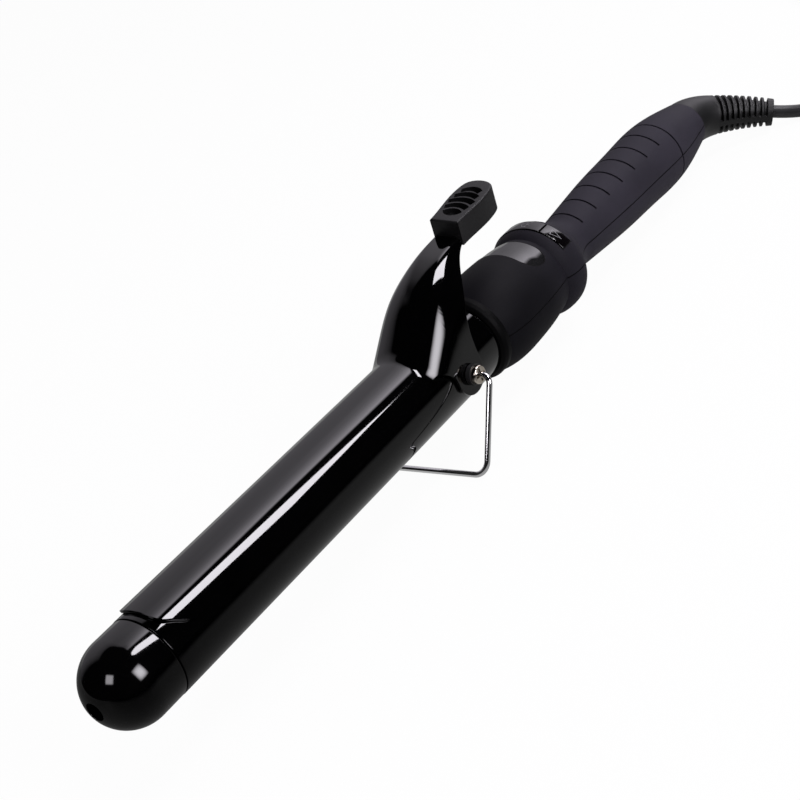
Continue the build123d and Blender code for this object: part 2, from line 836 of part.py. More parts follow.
# Display under the window and the control board
display_top = math.sqrt((valley_r - shell_wall) ** 2 - board_half**2) - fit
with BuildPart() as display_module:
    with BuildSketch(Plane.XY.offset(display_top)):
        with Locations((window_mid, 0)):
            Rectangle(window_long - 2, board_half * 2)
    extrude(amount=-3)
pieces["display_module"] = display_module

with BuildPart() as control_board:
    with BuildSketch(Plane.XY.offset(board_z)):
        with Locations(((board_front + board_rear) / 2, 0)):
            Rectangle(board_rear - board_front, 2 * board_half)
    extrude(amount=-board_thick)
pieces["control_board"] = control_board

# Three keys in the control ring, and the switch strip below them
for low, high, label in (
    (-key_split + key_split_gap / 2, key_split - key_split_gap / 2, "key_power"),
    (key_split + key_split_gap / 2, key_end, "key_up"),
    (-key_end, -key_split - key_split_gap / 2, "key_down"),
):
    with BuildPart() as key:
        with BuildSketch(turned(high)):
            with Locations(((key_front + key_rear) / 2, (key_low + key_high) / 2)):
                Rectangle(key_rear - key_front, key_high - key_low)
        revolve(axis=backward, revolution_arc=high - low)
        fillet(key.edges().filter_by(GeomType.LINE), 0.3)
    pieces[label] = key

switch_r = ring_r - 2.2 * shell_wall - 0.5
key_middle = (key_split + key_end) / 2
with BuildPart() as switch_strip:
    with BuildSketch(turned(key_end - 8)):
        with Locations(((key_front + key_rear) / 2, switch_r - 0.4)):
            Rectangle(key_rear - key_front, 0.8)
    revolve(axis=backward, revolution_arc=2 * key_end - 16)
    for angle in (-key_middle, 0, key_middle):
        a = math.radians(angle)
        spoke = Plane(
            ((key_front + key_rear) / 2, 0, 0),
            x_dir=(1, 0, 0),
            z_dir=(0, -math.sin(a), math.cos(a)),
        )
        with BuildSketch(spoke.offset(switch_r - 0.4)):
            Circle(1.1)
        extrude(amount=key_floor - switch_r + 0.4)
pieces["switch_strip"] = switch_strip

# Swivel: a rotor with two slip rings turns in the handle's end; holder and brushes stay with the handle
with BuildPart() as swivel_rotor:
    with BuildSketch(Plane.YZ.offset(rotor_front)):
        Circle(rotor_r)
    extrude(amount=wall_x + 4 - rotor_front)
    with BuildSketch(Plane.YZ.offset(wall_x - free)):
        Circle(collar_r)
    extrude(amount=-collar_long)
pieces["swivel_rotor"] = swivel_rotor

ring_at = (rotor_front + 1.5, rotor_front + 1.5 + 2.2 * ring_wide)
for x, label in zip(ring_at, ("slip_ring_front", "slip_ring_rear")):
    with BuildPart() as slip_ring:
        with BuildSketch(Plane.YZ.offset(x)):
            Circle(rotor_r + fit + ring_thick)
            Circle(rotor_r + fit, mode=Mode.SUBTRACT)
        extrude(amount=ring_wide)
    pieces[label] = slip_ring

brush_low = rotor_r + fit + ring_thick + free
for x, label in zip(ring_at, ("brush_front", "brush_rear")):
    with BuildPart() as brush:
        with BuildSketch(Plane.XY.offset(brush_low)):
            with Locations((x + ring_wide / 2, 0)):
                Rectangle(0.7 * ring_wide, 2 * ring_wide)
        extrude(amount=ring_thick)
    pieces[label] = brush

holder_r = brush_low + ring_thick + fit
with BuildPart() as brush_holder:
    with BuildSketch(Plane.YZ.offset(rotor_front)):
        Circle(grip_r - 0.8 - shell_wall - 0.6)
        Rectangle(2 * holder_r, 2 * holder_r, mode=Mode.SUBTRACT)
    extrude(amount=ring_at[1] + ring_wide - rotor_front)
pieces["brush_holder"] = brush_holder

# Strain relief: a bent rubber boot with a neck in the handle's end, slotted across and webbed along its bend
roll = math.radians(boot_roll)
boot_x = tail_x + free
forward = Vector(1, 0, 0)
sideways = Vector(0, -math.cos(roll), -math.sin(roll))
boot_across = forward.cross(sideways)


def boot_turn(along):
    """Angle the boot has turned by at this length of its centreline, in radians."""
    if along <= boot_elbow:
        return math.radians(boot_elbow_turn) * along / boot_elbow
    share = (along - boot_elbow) / boot_ribs
    return math.radians(boot_elbow_turn + share * (boot_tip_turn - boot_elbow_turn))


def boot_way(along):
    """Direction of the boot's centreline."""
    return forward * math.cos(boot_turn(along)) + sideways * math.sin(boot_turn(along))


def boot_point(along):
    """Point of the boot's centreline, which is one arc in the elbow and a wider one in the ribs."""
    point = Vector(boot_x, 0, 0)
    for first, last in ((0, min(along, boot_elbow)), (boot_elbow, max(along, boot_elbow))):
        half = (boot_turn(last) - boot_turn(first)) / 2
        if half > 0:
            point += boot_way((first + last) / 2) * ((last - first) * math.sin(half) / half)
    return point


def boot_radius(along):
    """Outer radius of the boot."""
    if along <= boot_elbow:
        return boot_r + (boot_rib_r - boot_r) * (along / boot_elbow) ** 1.5
    return boot_rib_r + (boot_tip_r - boot_rib_r) * (along - boot_elbow) / boot_ribs


def boot_plane(along):
    """Plane square to the boot's centreline."""
    return Plane(boot_point(along), x_dir=boot_across, z_dir=boot_way(along))


boot_long = boot_elbow + boot_ribs
boot_tip = boot_point(boot_long)
tip_way = boot_way(boot_long)
rib_pitch = (boot_ribs - 2.6) / rib_count
with BuildPart() as strain_relief:
    for along in (0, 0.3 * boot_elbow, 0.65 * boot_elbow, boot_elbow, boot_elbow + boot_ribs / 2, boot_long):
        with BuildSketch(boot_plane(along)):
            Circle(boot_radius(along))
    loft()
    for i in range(rib_count):
        along = boot_elbow + 0.3 + (i + 0.5) * rib_pitch
        with BuildSketch(boot_plane(along)):
            Circle(boot_radius(along) + 3)
            Circle(boot_radius(along) - rib_deep, mode=Mode.SUBTRACT)
            Rectangle(2 * rib_web, 4 * boot_r, mode=Mode.SUBTRACT)
        extrude(amount=rib_slot / 2, both=True, mode=Mode.SUBTRACT)
    with BuildSketch(Plane.YZ.offset(boot_x + 1)):
        Circle(neck_r)
    extrude(amount=wall_x + fit - boot_x - 1)
    with BuildSketch(Plane.YZ.offset(wall_x - 1)):
        Circle(rotor_r + fit)
    extrude(amount=5 + free, mode=Mode.SUBTRACT)
pieces["strain_relief"] = strain_relief

# Rest: the iron leans back on the stand's bar and the cord's boot, with the barrel's tip raised
bar_x = -stand_leg * math.sin(lean)
bar_z = -stand_leg * math.cos(lean)


def dropped(point, angle):
    """Height of a point once the iron is tipped back by this angle."""
    return point.Z * math.cos(angle) - point.X * math.sin(angle)


def boot_clearance(angle):
    """Height of the boot's tip over the bottom of the stand's bar at this angle."""
    slope = dropped(tip_way, angle)
    bar = dropped(Vector(bar_x, 0, bar_z), angle) - wire_r
    return dropped(boot_tip, angle) - boot_tip_r * math.sqrt(1 - slope**2) - bar


low_tilt = math.radians(-20)
high_tilt = math.radians(20)
for i in range(60):
    tilt = (low_tilt + high_tilt) / 2
    if boot_clearance(tilt) > boot_over_table:
        low_tilt = tilt
    else:
        high_tilt = tilt
tip_up = Rot(0, math.degrees(tilt), 0)
lift = wire_r - dropped(Vector(bar_x, 0, bar_z), tilt)
boxes = [p.part.moved(tip_up).bounding_box() for n, p in pieces.items() if n != "strain_relief"]
middle_x = (min(b.min.X for b in boxes) + max(b.max.X for b in boxes)) / 2
rest = Pos(-middle_x, 0, lift) * tip_up
print("tilt", math.degrees(tilt), "lift", lift, "shift", -middle_x)


def on_table(point):
    """The same point once the iron is laid on the table."""
    return (rest * Pos(point)).position


# Cord: straight runs joined by arcs, from the boot down to the table and round to the coil
cord_start = on_table(boot_tip)
cord_way = (on_table(boot_tip + tip_way) - cord_start).normalized()
cord_z = cord_r + cord_over_table
coil_z = cord_r + coil_lift
heading = math.atan2(cord_way.Y, cord_way.X)
cord_points = [cord_start, cord_start + cord_way * ((cord_start.Z - cord_z) / -cord_way.Z)]
for length, share in zip(cord_runs, cord_bends):
    angle = heading * (1 - share)
    cord_points.append(cord_points[-1] + Vector(math.cos(angle), math.sin(angle), 0) * length)
cord_radii = []
for a, b, c in zip(cord_points, cord_points[1:], cord_points[2:]):
    half_turn = math.radians((b - a).get_angle(c - b)) / 2
    cord_radii.append(0.45 * min((b - a).length, (c - b).length) / math.tan(half_turn))
print("cord points", [tuple(round(v, 3) for v in p) for p in cord_points])
print("cord radii", [round(r, 1) for r in cord_radii])
with BuildPart() as power_cord:
    with BuildLine() as cord_path:
        FilletPolyline(*cord_points, radius=cord_radii)
    with BuildSketch(Plane(cord_start, z_dir=cord_way)):
        Circle(cord_r)
    sweep()

# Coil: two layers that wind in, climb and wind out again, then a last half turn up to the plug
straight_end = Vector(2 * cord_r, 0, 0)
coil_first = cord_points[-1] + straight_end
coil_middle = Vector(coil_first.X, coil_first.Y + coil_out, 0)
layer = 2 * cord_r + layer_gap
winding = (coil_out - coil_in) / coil_turns
out_turns = coil_turns - 0.5
coil_top = coil_z + layer + cord_r
plug_z = coil_top + free + plug_high / 2


def eased(share):
    """Smooth step from 0 to 1."""
    return (1 - math.cos(math.pi * share)) / 2


def coil_at(turn):
    """Centre of the wound cord after so many turns."""
    wound_in = coil_turns
    climbed = wound_in + 0.5
    wound_out = climbed + out_turns
    if turn <= wound_in:
        r = coil_out - winding * turn
        z = cord_z + (coil_z - cord_z) * eased(min(1, 4 * turn))
    elif turn <= climbed:
        share = 2 * (turn - wound_in)
        r = coil_in - coil_dip * math.sin(math.pi * share)
        z = coil_z + layer * eased(share)
    else:
        share = max(0, 2 * (turn - wound_out))
        r = coil_in + winding * (turn - climbed) - coil_last_in * eased(max(0, 2 * share - 1))
        z = coil_z + layer + (plug_z - coil_z - layer) * eased(share)
    a = 2 * math.pi * turn - math.pi / 2
    return coil_middle + Vector(r * math.cos(a), r * math.sin(a), z)


all_turns = coil_turns + 0.5 + out_turns + 0.5
quarters = round(4 * all_turns)
coil_steps = [all_turns * i / quarters for i in range(quarters + 1)]
knots = [coil_at(t) for t in coil_steps]
slopes = [(coil_at(t + 0.005) - coil_at(t - 0.005)).normalized() for t in coil_steps]
slopes[0] = Vector(1, 0, 0)
slopes[-1] = Vector(1, 0, 0)


def biarc(p0, p1, t0, t1):
    """Middle point and its direction, where two arcs from p0 to p1 meet smoothly."""
    v = p1 - p0
    t = t0 + t1
    k = 2 * (1 - t0.dot(t1))
    d = (-v.dot(t) + math.sqrt(v.dot(t) ** 2 + k * v.dot(v))) / k
    q0 = p0 + t0 * d
    q1 = p1 - t1 * d
    return (q0 + q1) * 0.5, (q1 - q0).normalized()


with BuildPart() as cord_coil:
    with BuildLine() as coil_path:
        Line(cord_points[-1], knots[0])
        for p0, p1, t0, t1 in zip(knots, knots[1:], slopes, slopes[1:]):
            middle, across = biarc(p0, p1, t0, t1)
            TangentArc(p0, middle, tangent=t0)
            TangentArc(middle, p1, tangent=across)
        Line(knots[-1], knots[-1] + slopes[-1] * 2 * cord_r)
    with BuildSketch(Plane(cord_points[-1], x_dir=(0, 0, 1), z_dir=(1, 0, 0))):
        RegularPolygon(cord_r, 6)
    sweep()

# Tie round the coil's turns, on the side the last half turn doesn't pass
tie_near = coil_in - cord_r - 0.9
tie_far = coil_out - winding / 4 + cord_r + 0.4
tie_low = coil_z - cord_r - 0.2
tie_high = coil_top + 0.2
tie_middle = coil_middle + Vector((tie_near + tie_far) / 2, 0, (tie_low + tie_high) / 2)
with BuildPart() as cord_tie:
    with BuildSketch(Plane(tie_middle, x_dir=(1, 0, 0), z_dir=(0, -1, 0))):
        RectangleRounded(tie_far - tie_near + 2 * tie_thick, tie_high - tie_low + 2 * tie_thick, 1.6)
        RectangleRounded(tie_far - tie_near, tie_high - tie_low, 1, mode=Mode.SUBTRACT)
    extrude(amount=tie_wide / 2, both=True)

# Plug lying on the coil, two round pins pointing along +X
plug_at = knots[-1] + slopes[-1] * 2 * cord_r
plug_plane = Plane(plug_at, x_dir=(0, 1, 0), z_dir=(1, 0, 0))
with BuildPart() as plug_body:
    with BuildSketch(plug_plane):
        RectangleRounded(0.5 * plug_wide, 0.8 * plug_high, 0.25 * plug_high)
    with BuildSketch(plug_plane.offset(0.45 * plug_long)):
        RectangleRounded(0.92 * plug_wide, plug_high, 0.3 * plug_high)
    with BuildSketch(plug_plane.offset(plug_long)):
        RectangleRounded(plug_wide, plug_high, 0.3 * plug_high)
    loft(ruled=True)
    with BuildSketch(plug_plane.offset(plug_long)):
        with Locations((-pin_apart / 2, 0), (pin_apart / 2, 0)):
            Circle(pin_root_r + fit)
    extrude(amount=-pin_root_long - fit, mode=Mode.SUBTRACT)

plug_pins = {}
for side, label in ((-1, "plug_pin_a"), (1, "plug_pin_b")):
    with BuildPart() as plug_pin:
        with BuildSketch(plug_plane.offset(plug_long + fit)):
            with Locations((side * pin_apart / 2, 0)):
                Circle(pin_r)
        extrude(amount=pin_long)
        fillet(plug_pin.edges().sort_by(Axis.X)[-1], 0.5 * pin_r)
        with BuildSketch(plug_plane.offset(plug_long + fit)):
            with Locations((side * pin_apart / 2, 0)):
                Circle(pin_root_r)
        extrude(amount=-pin_root_long)
    plug_pins[label] = plug_pin

pin_base = plug_at + Vector(plug_long + fit + pin_long / 2, 0, 0)
print("plug pins", [tuple(pin_base + Vector(0, side * pin_apart / 2, 0)) for side in (-1, 1)])
laid = {
    "power_cord": power_cord,
    "cord_coil": cord_coil,
    "cord_tie": cord_tie,
    "plug_body": plug_body,
    **plug_pins,
}

# Check the wound cord: its volume, its length and its least gap to itself
hexagon = 1.5 * math.sqrt(3) * cord_r**2
wire = coil_path.wire()
samples = [wire.position_at(i / 1400) for i in range(1401)]
step = wire.length / 1400
apart = math.ceil(30 / step)
least = min(
    (a - b).length for i, a in enumerate(samples) for b in samples[i + apart :]
)
cord_length = cord_path.wire().length
cord_share = power_cord.part.volume / (math.pi * cord_r**2 * cord_length)
print("cord length", cord_length, "volume share", cord_share)
print("coil length", wire.length, "volume share", cord_coil.part.volume / (hexagon * wire.length))
print("coil least gap to itself", least - 2 * cord_r)

# Write every piece where it rests on the table
for node, piece in pieces.items():
    placed = piece.part.moved(rest)
    placed.label = node
    export_step(placed, f"parts/{node}.step")
for node, piece in laid.items():
    piece.part.label = node
    export_step(piece.part, f"parts/{node}.step")
for node, piece in {**pieces, **laid}.items():
    print(node, round(piece.part.volume, 1), piece.part.is_valid, len(piece.part.solids()))
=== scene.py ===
# %% [markdown]
# # A curling iron on a white table
# The hard shapes come from the imported model, in metres, with the table at z = 0. Blender adds the
# finish: smooth skins for the glossy metal, moulded plastic, rubber and the mains cord.

# %% Load the imported model
import json
import math
from functools import partial

import bmesh
import bpy
import numpy as np
from mathutils import Matrix, Vector

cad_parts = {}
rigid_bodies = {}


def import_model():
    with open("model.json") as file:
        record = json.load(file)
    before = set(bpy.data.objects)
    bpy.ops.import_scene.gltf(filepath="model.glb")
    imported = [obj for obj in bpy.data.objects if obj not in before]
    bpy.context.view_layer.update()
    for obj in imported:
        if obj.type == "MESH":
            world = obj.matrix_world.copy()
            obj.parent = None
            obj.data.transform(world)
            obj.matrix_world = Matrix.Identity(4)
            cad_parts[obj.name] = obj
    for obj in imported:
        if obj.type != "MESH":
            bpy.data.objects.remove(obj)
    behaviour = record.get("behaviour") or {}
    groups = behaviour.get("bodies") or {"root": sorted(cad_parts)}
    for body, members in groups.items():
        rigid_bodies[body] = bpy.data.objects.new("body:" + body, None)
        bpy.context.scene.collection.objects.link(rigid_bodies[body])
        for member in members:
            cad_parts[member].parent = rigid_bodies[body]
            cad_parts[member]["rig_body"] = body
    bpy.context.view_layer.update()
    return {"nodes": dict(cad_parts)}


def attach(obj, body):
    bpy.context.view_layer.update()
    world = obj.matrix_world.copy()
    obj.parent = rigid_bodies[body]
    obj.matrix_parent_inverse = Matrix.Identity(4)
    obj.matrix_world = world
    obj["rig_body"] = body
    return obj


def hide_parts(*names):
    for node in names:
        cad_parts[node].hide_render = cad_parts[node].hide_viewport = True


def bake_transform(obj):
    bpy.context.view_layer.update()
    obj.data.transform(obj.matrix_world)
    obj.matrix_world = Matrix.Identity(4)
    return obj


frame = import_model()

scene = bpy.context.scene
nodes = frame["nodes"]
print("pieces in the packed model:", len(nodes))

# %% [markdown]
# ## Camera
# The place and lens were solved from points of the photograph: the tip, the pivot, the stand and
# the tail of the handle. A matrix of the camera's right, up and backward directions holds the
# slight roll as well.

# %% Camera at the photograph's place
camera = bpy.data.objects.new("photo_camera", bpy.data.cameras.new("photo_camera"))
scene.collection.objects.link(camera)
camera.data.sensor_width = 36.0
camera.data.lens = 70.6798
camera.data.clip_start = 0.01
camera.matrix_world = Matrix(
    (
        (0.535166, 0.595238, -0.599407, -0.385777),
        (-0.76624, 0.043329, -0.641092, -0.376877),
        (-0.35563, 0.802381, 0.479283, 0.317342),
        (0.0, 0.0, 0.0, 1.0),
    )
)
scene.camera = camera
print("camera is", round(camera.location.length, 3), "m from the iron's middle")

# %% [markdown]
# ## Helpers for finishes
# A finish is never one flat value. Each has a slow noise that shifts its colour and gloss a
# little, as dust, handling and moulding do, and a fine noise that lifts the surface. Object
# coordinates keep both in place.

# %% Finish helpers
noise_low, noise_high = 0.3, 0.7
mottle_detail, grain_detail = 4.0, 2.0
coat_ior = 1.5


def ranged(tree, value, low, high, first, last):
    """Map a value from first..last to low..high."""
    node = tree.nodes.new("ShaderNodeMapRange")
    limits = {"From Min": first, "From Max": last, "To Min": low, "To Max": high}
    for socket, number in limits.items():
        node.inputs[socket].default_value = number
    tree.links.new(value, node.inputs["Value"])
    return node.outputs["Result"]


def noise(tree, where, scale, detail):
    """Noise of so many cells a metre."""
    node = tree.nodes.new("ShaderNodeTexNoise")
    node.inputs["Scale"].default_value = scale
    node.inputs["Detail"].default_value = detail
    tree.links.new(where, node.inputs["Vector"])
    return node.outputs["Fac"]


def tinted(tree, value, dark, light):
    """Blend between two colours as a noise goes from low to high."""
    ramp = tree.nodes.new("ShaderNodeValToRGB")
    ends = ((noise_low, dark), (noise_high, light))
    for element, (position, colour) in zip(ramp.color_ramp.elements, ends):
        element.position = position
        element.color = (*colour, 1.0)
    tree.links.new(value, ramp.inputs["Fac"])
    return ramp.outputs["Color"]


def bumped(tree, value, shader, distance):
    """Lift the surface by a value, distance in metres."""
    bump = tree.nodes.new("ShaderNodeBump")
    bump.inputs["Strength"].default_value = 1.0
    bump.inputs["Distance"].default_value = distance
    tree.links.new(value, bump.inputs["Height"])
    tree.links.new(bump.outputs["Normal"], shader.inputs["Normal"])


def make_finish(name, dark, light, gloss, grain, lift, metal=0.0, slow=45.0, specular=0.5):
    """A finish with a slow mottle in colour and roughness and a fine grain that lifts it."""
    material = bpy.data.materials.new(name)
    material.use_nodes = True
    tree = material.node_tree
    shader = tree.nodes["Principled BSDF"]
    shader.inputs["Metallic"].default_value = metal
    shader.inputs["IOR"].default_value = coat_ior
    shader.inputs["Specular IOR Level"].default_value = specular
    where = tree.nodes.new("ShaderNodeTexCoord").outputs["Object"]
    mottle = noise(tree, where, slow, mottle_detail)
    roughness = ranged(tree, mottle, *gloss, noise_low, noise_high)
    tree.links.new(tinted(tree, mottle, dark, light), shader.inputs["Base Color"])
    tree.links.new(roughness, shader.inputs["Roughness"])
    bumped(tree, noise(tree, where, grain, grain_detail), shader, lift)
    return material


print("finish helpers ready")

# %% [markdown]
# ## Helpers for meshes
# Every piece ends as a plain mesh at the origin. Most are grids: rows of points, joined by faces
# with four corners. Merging doubled points closes seams and poles, and recalculated normals turn
# the faces outwards.

# %% Mesh helpers


def settle(piece):
    """Turn a piece with live modifiers into a plain mesh and remove the modifiers."""
    bpy.context.view_layer.update()
    seen = piece.evaluated_get(bpy.context.evaluated_depsgraph_get())
    mesh = bpy.data.meshes.new_from_object(seen)
    piece.modifiers.clear()
    piece.data = mesh
    return piece


def new_piece(name, mesh, finish):
    """An object at the origin for a mesh, with one finish."""
    piece = bpy.data.objects.new(name, mesh)
    scene.collection.objects.link(piece)
    mesh.materials.clear()
    mesh.materials.append(finish)
    return piece


def smooth(mesh, degrees):
    """Round shading, with edges kept sharp above an angle."""
    mesh.polygons.foreach_set("use_smooth", [True] * len(mesh.polygons))
    mesh.set_sharp_from_angle(angle=math.radians(degrees))


def quads(rows, count, ring=True, loop=False):
    """Faces between rows of points: each row may close to a ring, and the rows to a loop."""
    faces = []
    for i in range(rows if loop else rows - 1):
        for k in range(count if ring else count - 1):
            j, m = (i + 1) % rows, (k + 1) % count
            faces.append((i * count + k, i * count + m, j * count + m, j * count + k))
    return faces


def end_caps(rows, count):
    """One face over the first ring and one over the last."""
    return [tuple(range(count)), tuple(range((rows - 1) * count, rows * count))]


def mesh_of(name, points, faces):
    """A mesh from lists of points and faces, checked and closed at doubled points."""
    bm = bmesh.new()
    verts = [bm.verts.new(p) for p in points]
    for face in faces:
        if len(set(face)) > 2:
            bm.faces.new([verts[i] for i in face])
    bmesh.ops.remove_doubles(bm, verts=bm.verts, dist=1e-7)
    bmesh.ops.dissolve_degenerate(bm, edges=bm.edges, dist=1e-8)
    bmesh.ops.recalc_face_normals(bm, faces=bm.faces)
    mesh = bpy.data.meshes.new(name)
    bm.to_mesh(mesh)
    bm.free()
    return mesh


print("mesh helpers ready")

# %% [markdown]
# ## The mains cord
# The cord leaves the rubber boot, drops to the table and runs out of the picture. The rest, about
# 1.5 m, is wound in a neat two-layer coil just outside the view. One NURBS spline holds it all:
# the route's points first, then the turns of the coil. Points on a circle pull the spline inside
# it, so the coil's points stand out by that share.

# %% Cord line
cord_points = [
    (0.236879, -0.028693, 0.007256),
    (0.24168, -0.039296, 0.0031),
    (0.24993, -0.057516, 0.0031),
    (0.266738, -0.068355, 0.0031),
    (0.304738, -0.068355, 0.0031),
    (0.360705, -0.066431, 0.0031),
    (0.408705, -0.066431, 0.0031),
]
coil_middle = (0.414705, -0.021131)
coil_out, coil_in, coil_turns = 0.0453, 0.024, 3.25
coil_winding = 0.0213 / coil_turns
coil_low, coil_layer, plug_height = 0.004, 0.00655, 0.02085
climb_tuck, plug_tuck, plug_lead = 0.0017, 0.01, 0.006
points_a_turn = 20
spread = 1 / (0.75 + 0.25 * math.cos(2 * math.pi / points_a_turn))


def eased(share):
    """Smooth step from 0 to 1."""
    return (1 - math.cos(math.pi * share)) / 2


def coil_at(turn, out=1.0):
    """Centre of the wound cord after so many turns."""
    climbed, wound_out = coil_turns + 0.5, 2 * coil_turns
    if turn <= coil_turns:
        r = coil_out - coil_winding * turn
        z = cord_points[-1][2] + (coil_low - cord_points[-1][2]) * eased(min(1, 4 * turn))
    elif turn <= climbed:
        share = 2 * (turn - coil_turns)
        r = coil_in - climb_tuck * math.sin(math.pi * share)
        z = coil_low + coil_layer * eased(share)
    else:
        share = max(0, 2 * (turn - wound_out))
        r = coil_in + coil_winding * (turn - climbed) - plug_tuck * eased(max(0, 2 * share - 1))
        z = coil_low + coil_layer + (plug_height - coil_low - coil_layer) * eased(share)
    a = 2 * math.pi * turn - math.pi / 2
    return (coil_middle[0] + out * r * math.cos(a), coil_middle[1] + out * r * math.sin(a), z)


turns_in_all = 2 * coil_turns + 0.5
coil_count = round(turns_in_all * points_a_turn)
coil_points = [coil_at(i / points_a_turn, spread) for i in range(1, coil_count)]
plug_at = Vector(coil_at(turns_in_all)) + Vector((plug_lead, 0, 0))
coil_points += [tuple(plug_at + Vector((into, 0, 0))) for into in (-0.003, 0.004)]
route = bpy.data.curves.new("cord_route", "CURVE")
route.dimensions = "3D"
route.resolution_u = 8
spline = route.splines.new("NURBS")
spline.points.add(len(cord_points) + len(coil_points) - 1)
for point, place in zip(spline.points, cord_points + coil_points):
    point.co = (*place, 1.0)
spline.order_u = 3
spline.use_endpoint_u = True
route_object = bpy.data.objects.new("cord_route", route)
scene.collection.objects.link(route_object)
bpy.context.view_layer.update()
drawn_route = route_object.evaluated_get(bpy.context.evaluated_depsgraph_get())
line = bpy.data.meshes.new_from_object(drawn_route)
cord_path = [tuple(v.co) for v in line.vertices]
cord_length = sum((Vector(a) - Vector(b)).length for a, b in zip(cord_path, cord_path[1:]))
bpy.data.objects.remove(route_object)
print("cord line:", len(cord_path), "points,", round(cord_length, 3), "m")

# %% [markdown]
# ## Cord sheath
# The sheath is extruded PVC with a round section. A node tree sweeps a ring along the line, with
# the radius and the number of sides as inputs, because the wire stand can go through the same
# tree later.

# %% Cord sheath by Geometry Nodes
cord_pvc = make_finish(
    "cord_pvc",
    (0.009, 0.009, 0.0095),
    (0.016, 0.016, 0.017),
    (0.3, 0.42),
    1800.0,
    0.00004,
    slow=90.0,
)
cord_r = 0.003


def wired(tree, *pairs):
    """Link pairs of sockets, from the first of each to the second."""
    for source, target in pairs:
        tree.links.new(source, target)


def new_tree(name, sizes):
    """An empty geometry tree with a finish and named sizes as inputs, each with its default."""
    tree = bpy.data.node_groups.new(name, "GeometryNodeTree")
    for way in ("INPUT", "OUTPUT"):
        tree.interface.new_socket("Geometry", in_out=way, socket_type="NodeSocketGeometry")
    for label, number in sizes.items():
        kind = "NodeSocketInt" if isinstance(number, int) else "NodeSocketFloat"
        socket = tree.interface.new_socket(label, in_out="INPUT", socket_type=kind)
        socket.default_value = number
    tree.interface.new_socket("Finish", in_out="INPUT", socket_type="NodeSocketMaterial")
    inputs = tree.nodes.new("NodeGroupInput").outputs
    return tree, inputs, tree.nodes.new("NodeGroupOutput").inputs


def close_tree(tree, inputs, outputs, geometry):
    """End a tree in realized instances and the finish."""
    real = tree.nodes.new("GeometryNodeRealizeInstances")
    paint = tree.nodes.new("GeometryNodeSetMaterial")
    wired(
        tree,
        (geometry, real.inputs["Geometry"]),
        (real.outputs["Geometry"], paint.inputs["Geometry"]),
        (inputs["Finish"], paint.inputs["Material"]),
        (paint.outputs["Geometry"], outputs["Geometry"]),
    )


def grow(name, mesh, tree, finish, **sizes):
    """Run a tree on a mesh and keep the result as a plain mesh piece."""
    piece = new_piece(name, mesh, finish)
    modifier = piece.modifiers.new("grow", "NODES")
    modifier.node_group = tree
    for item in tree.interface.items_tree:
        if item.in_out == "INPUT" and item.name == "Finish":
            modifier[item.identifier] = finish
        elif item.in_out == "INPUT" and item.name in sizes:
            modifier[item.identifier] = sizes[item.name]
    return settle(piece)


tube_tree, tube_in, tube_out = new_tree("round_tube", {"Radius": cord_r, "Sides": 24})
to_curve = tube_tree.nodes.new("GeometryNodeMeshToCurve")
ring = tube_tree.nodes.new("GeometryNodeCurvePrimitiveCircle")
sweep = tube_tree.nodes.new("GeometryNodeCurveToMesh")
sweep.inputs["Fill Caps"].default_value = True
shade = tube_tree.nodes.new("GeometryNodeSetShadeSmooth")
wired(
    tube_tree,
    (tube_in["Geometry"], to_curve.inputs["Mesh"]),
    (tube_in["Radius"], ring.inputs["Radius"]),
    (tube_in["Sides"], ring.inputs["Resolution"]),
    (to_curve.outputs["Curve"], sweep.inputs["Curve"]),
    (ring.outputs["Curve"], sweep.inputs["Profile Curve"]),
    (sweep.outputs["Mesh"], shade.inputs["Geometry"]),
)
close_tree(tube_tree, tube_in, tube_out, shade.outputs["Geometry"])
mains_cord = grow("mains_cord", line, tube_tree, cord_pvc, Radius=cord_r, Sides=20)
print("mains cord:", len(mains_cord.data.polygons), "faces")

# %% [markdown]
# ## Plug
# The plug is a moulded body that swells toward its two pins. A loft through rounded rectangles
# gives it, each with its own width, height and corner. It lies out of the picture but is part of
# the cord.

# %% Plug body
plug_rubber = make_finish(
    "plug_rubber",
    (0.011, 0.011, 0.0115),
    (0.018, 0.018, 0.019),
    (0.38, 0.5),
    2600.0,
    0.00003,
    slow=70.0,
)
corner_steps = 6
plug_sections = (
    (0.0, 9.0, 8.0, 3.6),
    (0.3, 12.4, 10.2, 3.4),
    (1.4, 13.9, 11.1, 3.3),
    (5.0, 16.4, 11.6, 3.6),
    (10.0, 21.2, 12.9, 4.0),
    (15.3, 25.7, 13.95, 4.2),
    (22.0, 26.8, 14.0, 4.2),
    (31.6, 27.9, 14.0, 4.2),
    (33.2, 27.7, 13.8, 4.1),
    (34.0, 26.0, 12.1, 3.6),
)


def rounded_box(wide, high, corner):
    """Points round a rectangle with rounded corners, anticlockwise."""
    points = []
    for k, (sx, sy) in enumerate(((1, 1), (-1, 1), (-1, -1), (1, -1))):
        for i in range(corner_steps + 1):
            a = math.pi / 2 * (k + i / corner_steps)
            x = sx * (wide / 2 - corner) + corner * math.cos(a)
            y = sy * (high / 2 - corner) + corner * math.sin(a)
            points.append((x, y))
    return points


def lofted(name, rings, closed_ends=True):
    """Skin a list of rings of the same number of points."""
    rows, count = len(rings), len(rings[0])
    points = [p for one in rings for p in one]
    faces = quads(rows, count)
    if closed_ends:
        faces += end_caps(rows, count)
    return mesh_of(name, points, faces)


plug_rings = [
    [
        (plug_at.x + along / 1000, plug_at.y + y / 1000, plug_at.z + z / 1000)
        for y, z in rounded_box(wide, high, corner)
    ]
    for along, wide, high, corner in plug_sections
]
plug_mesh = lofted("plug_skin", plug_rings)
smooth(plug_mesh, 50)
print("plug:", len(plug_mesh.polygons), "faces")

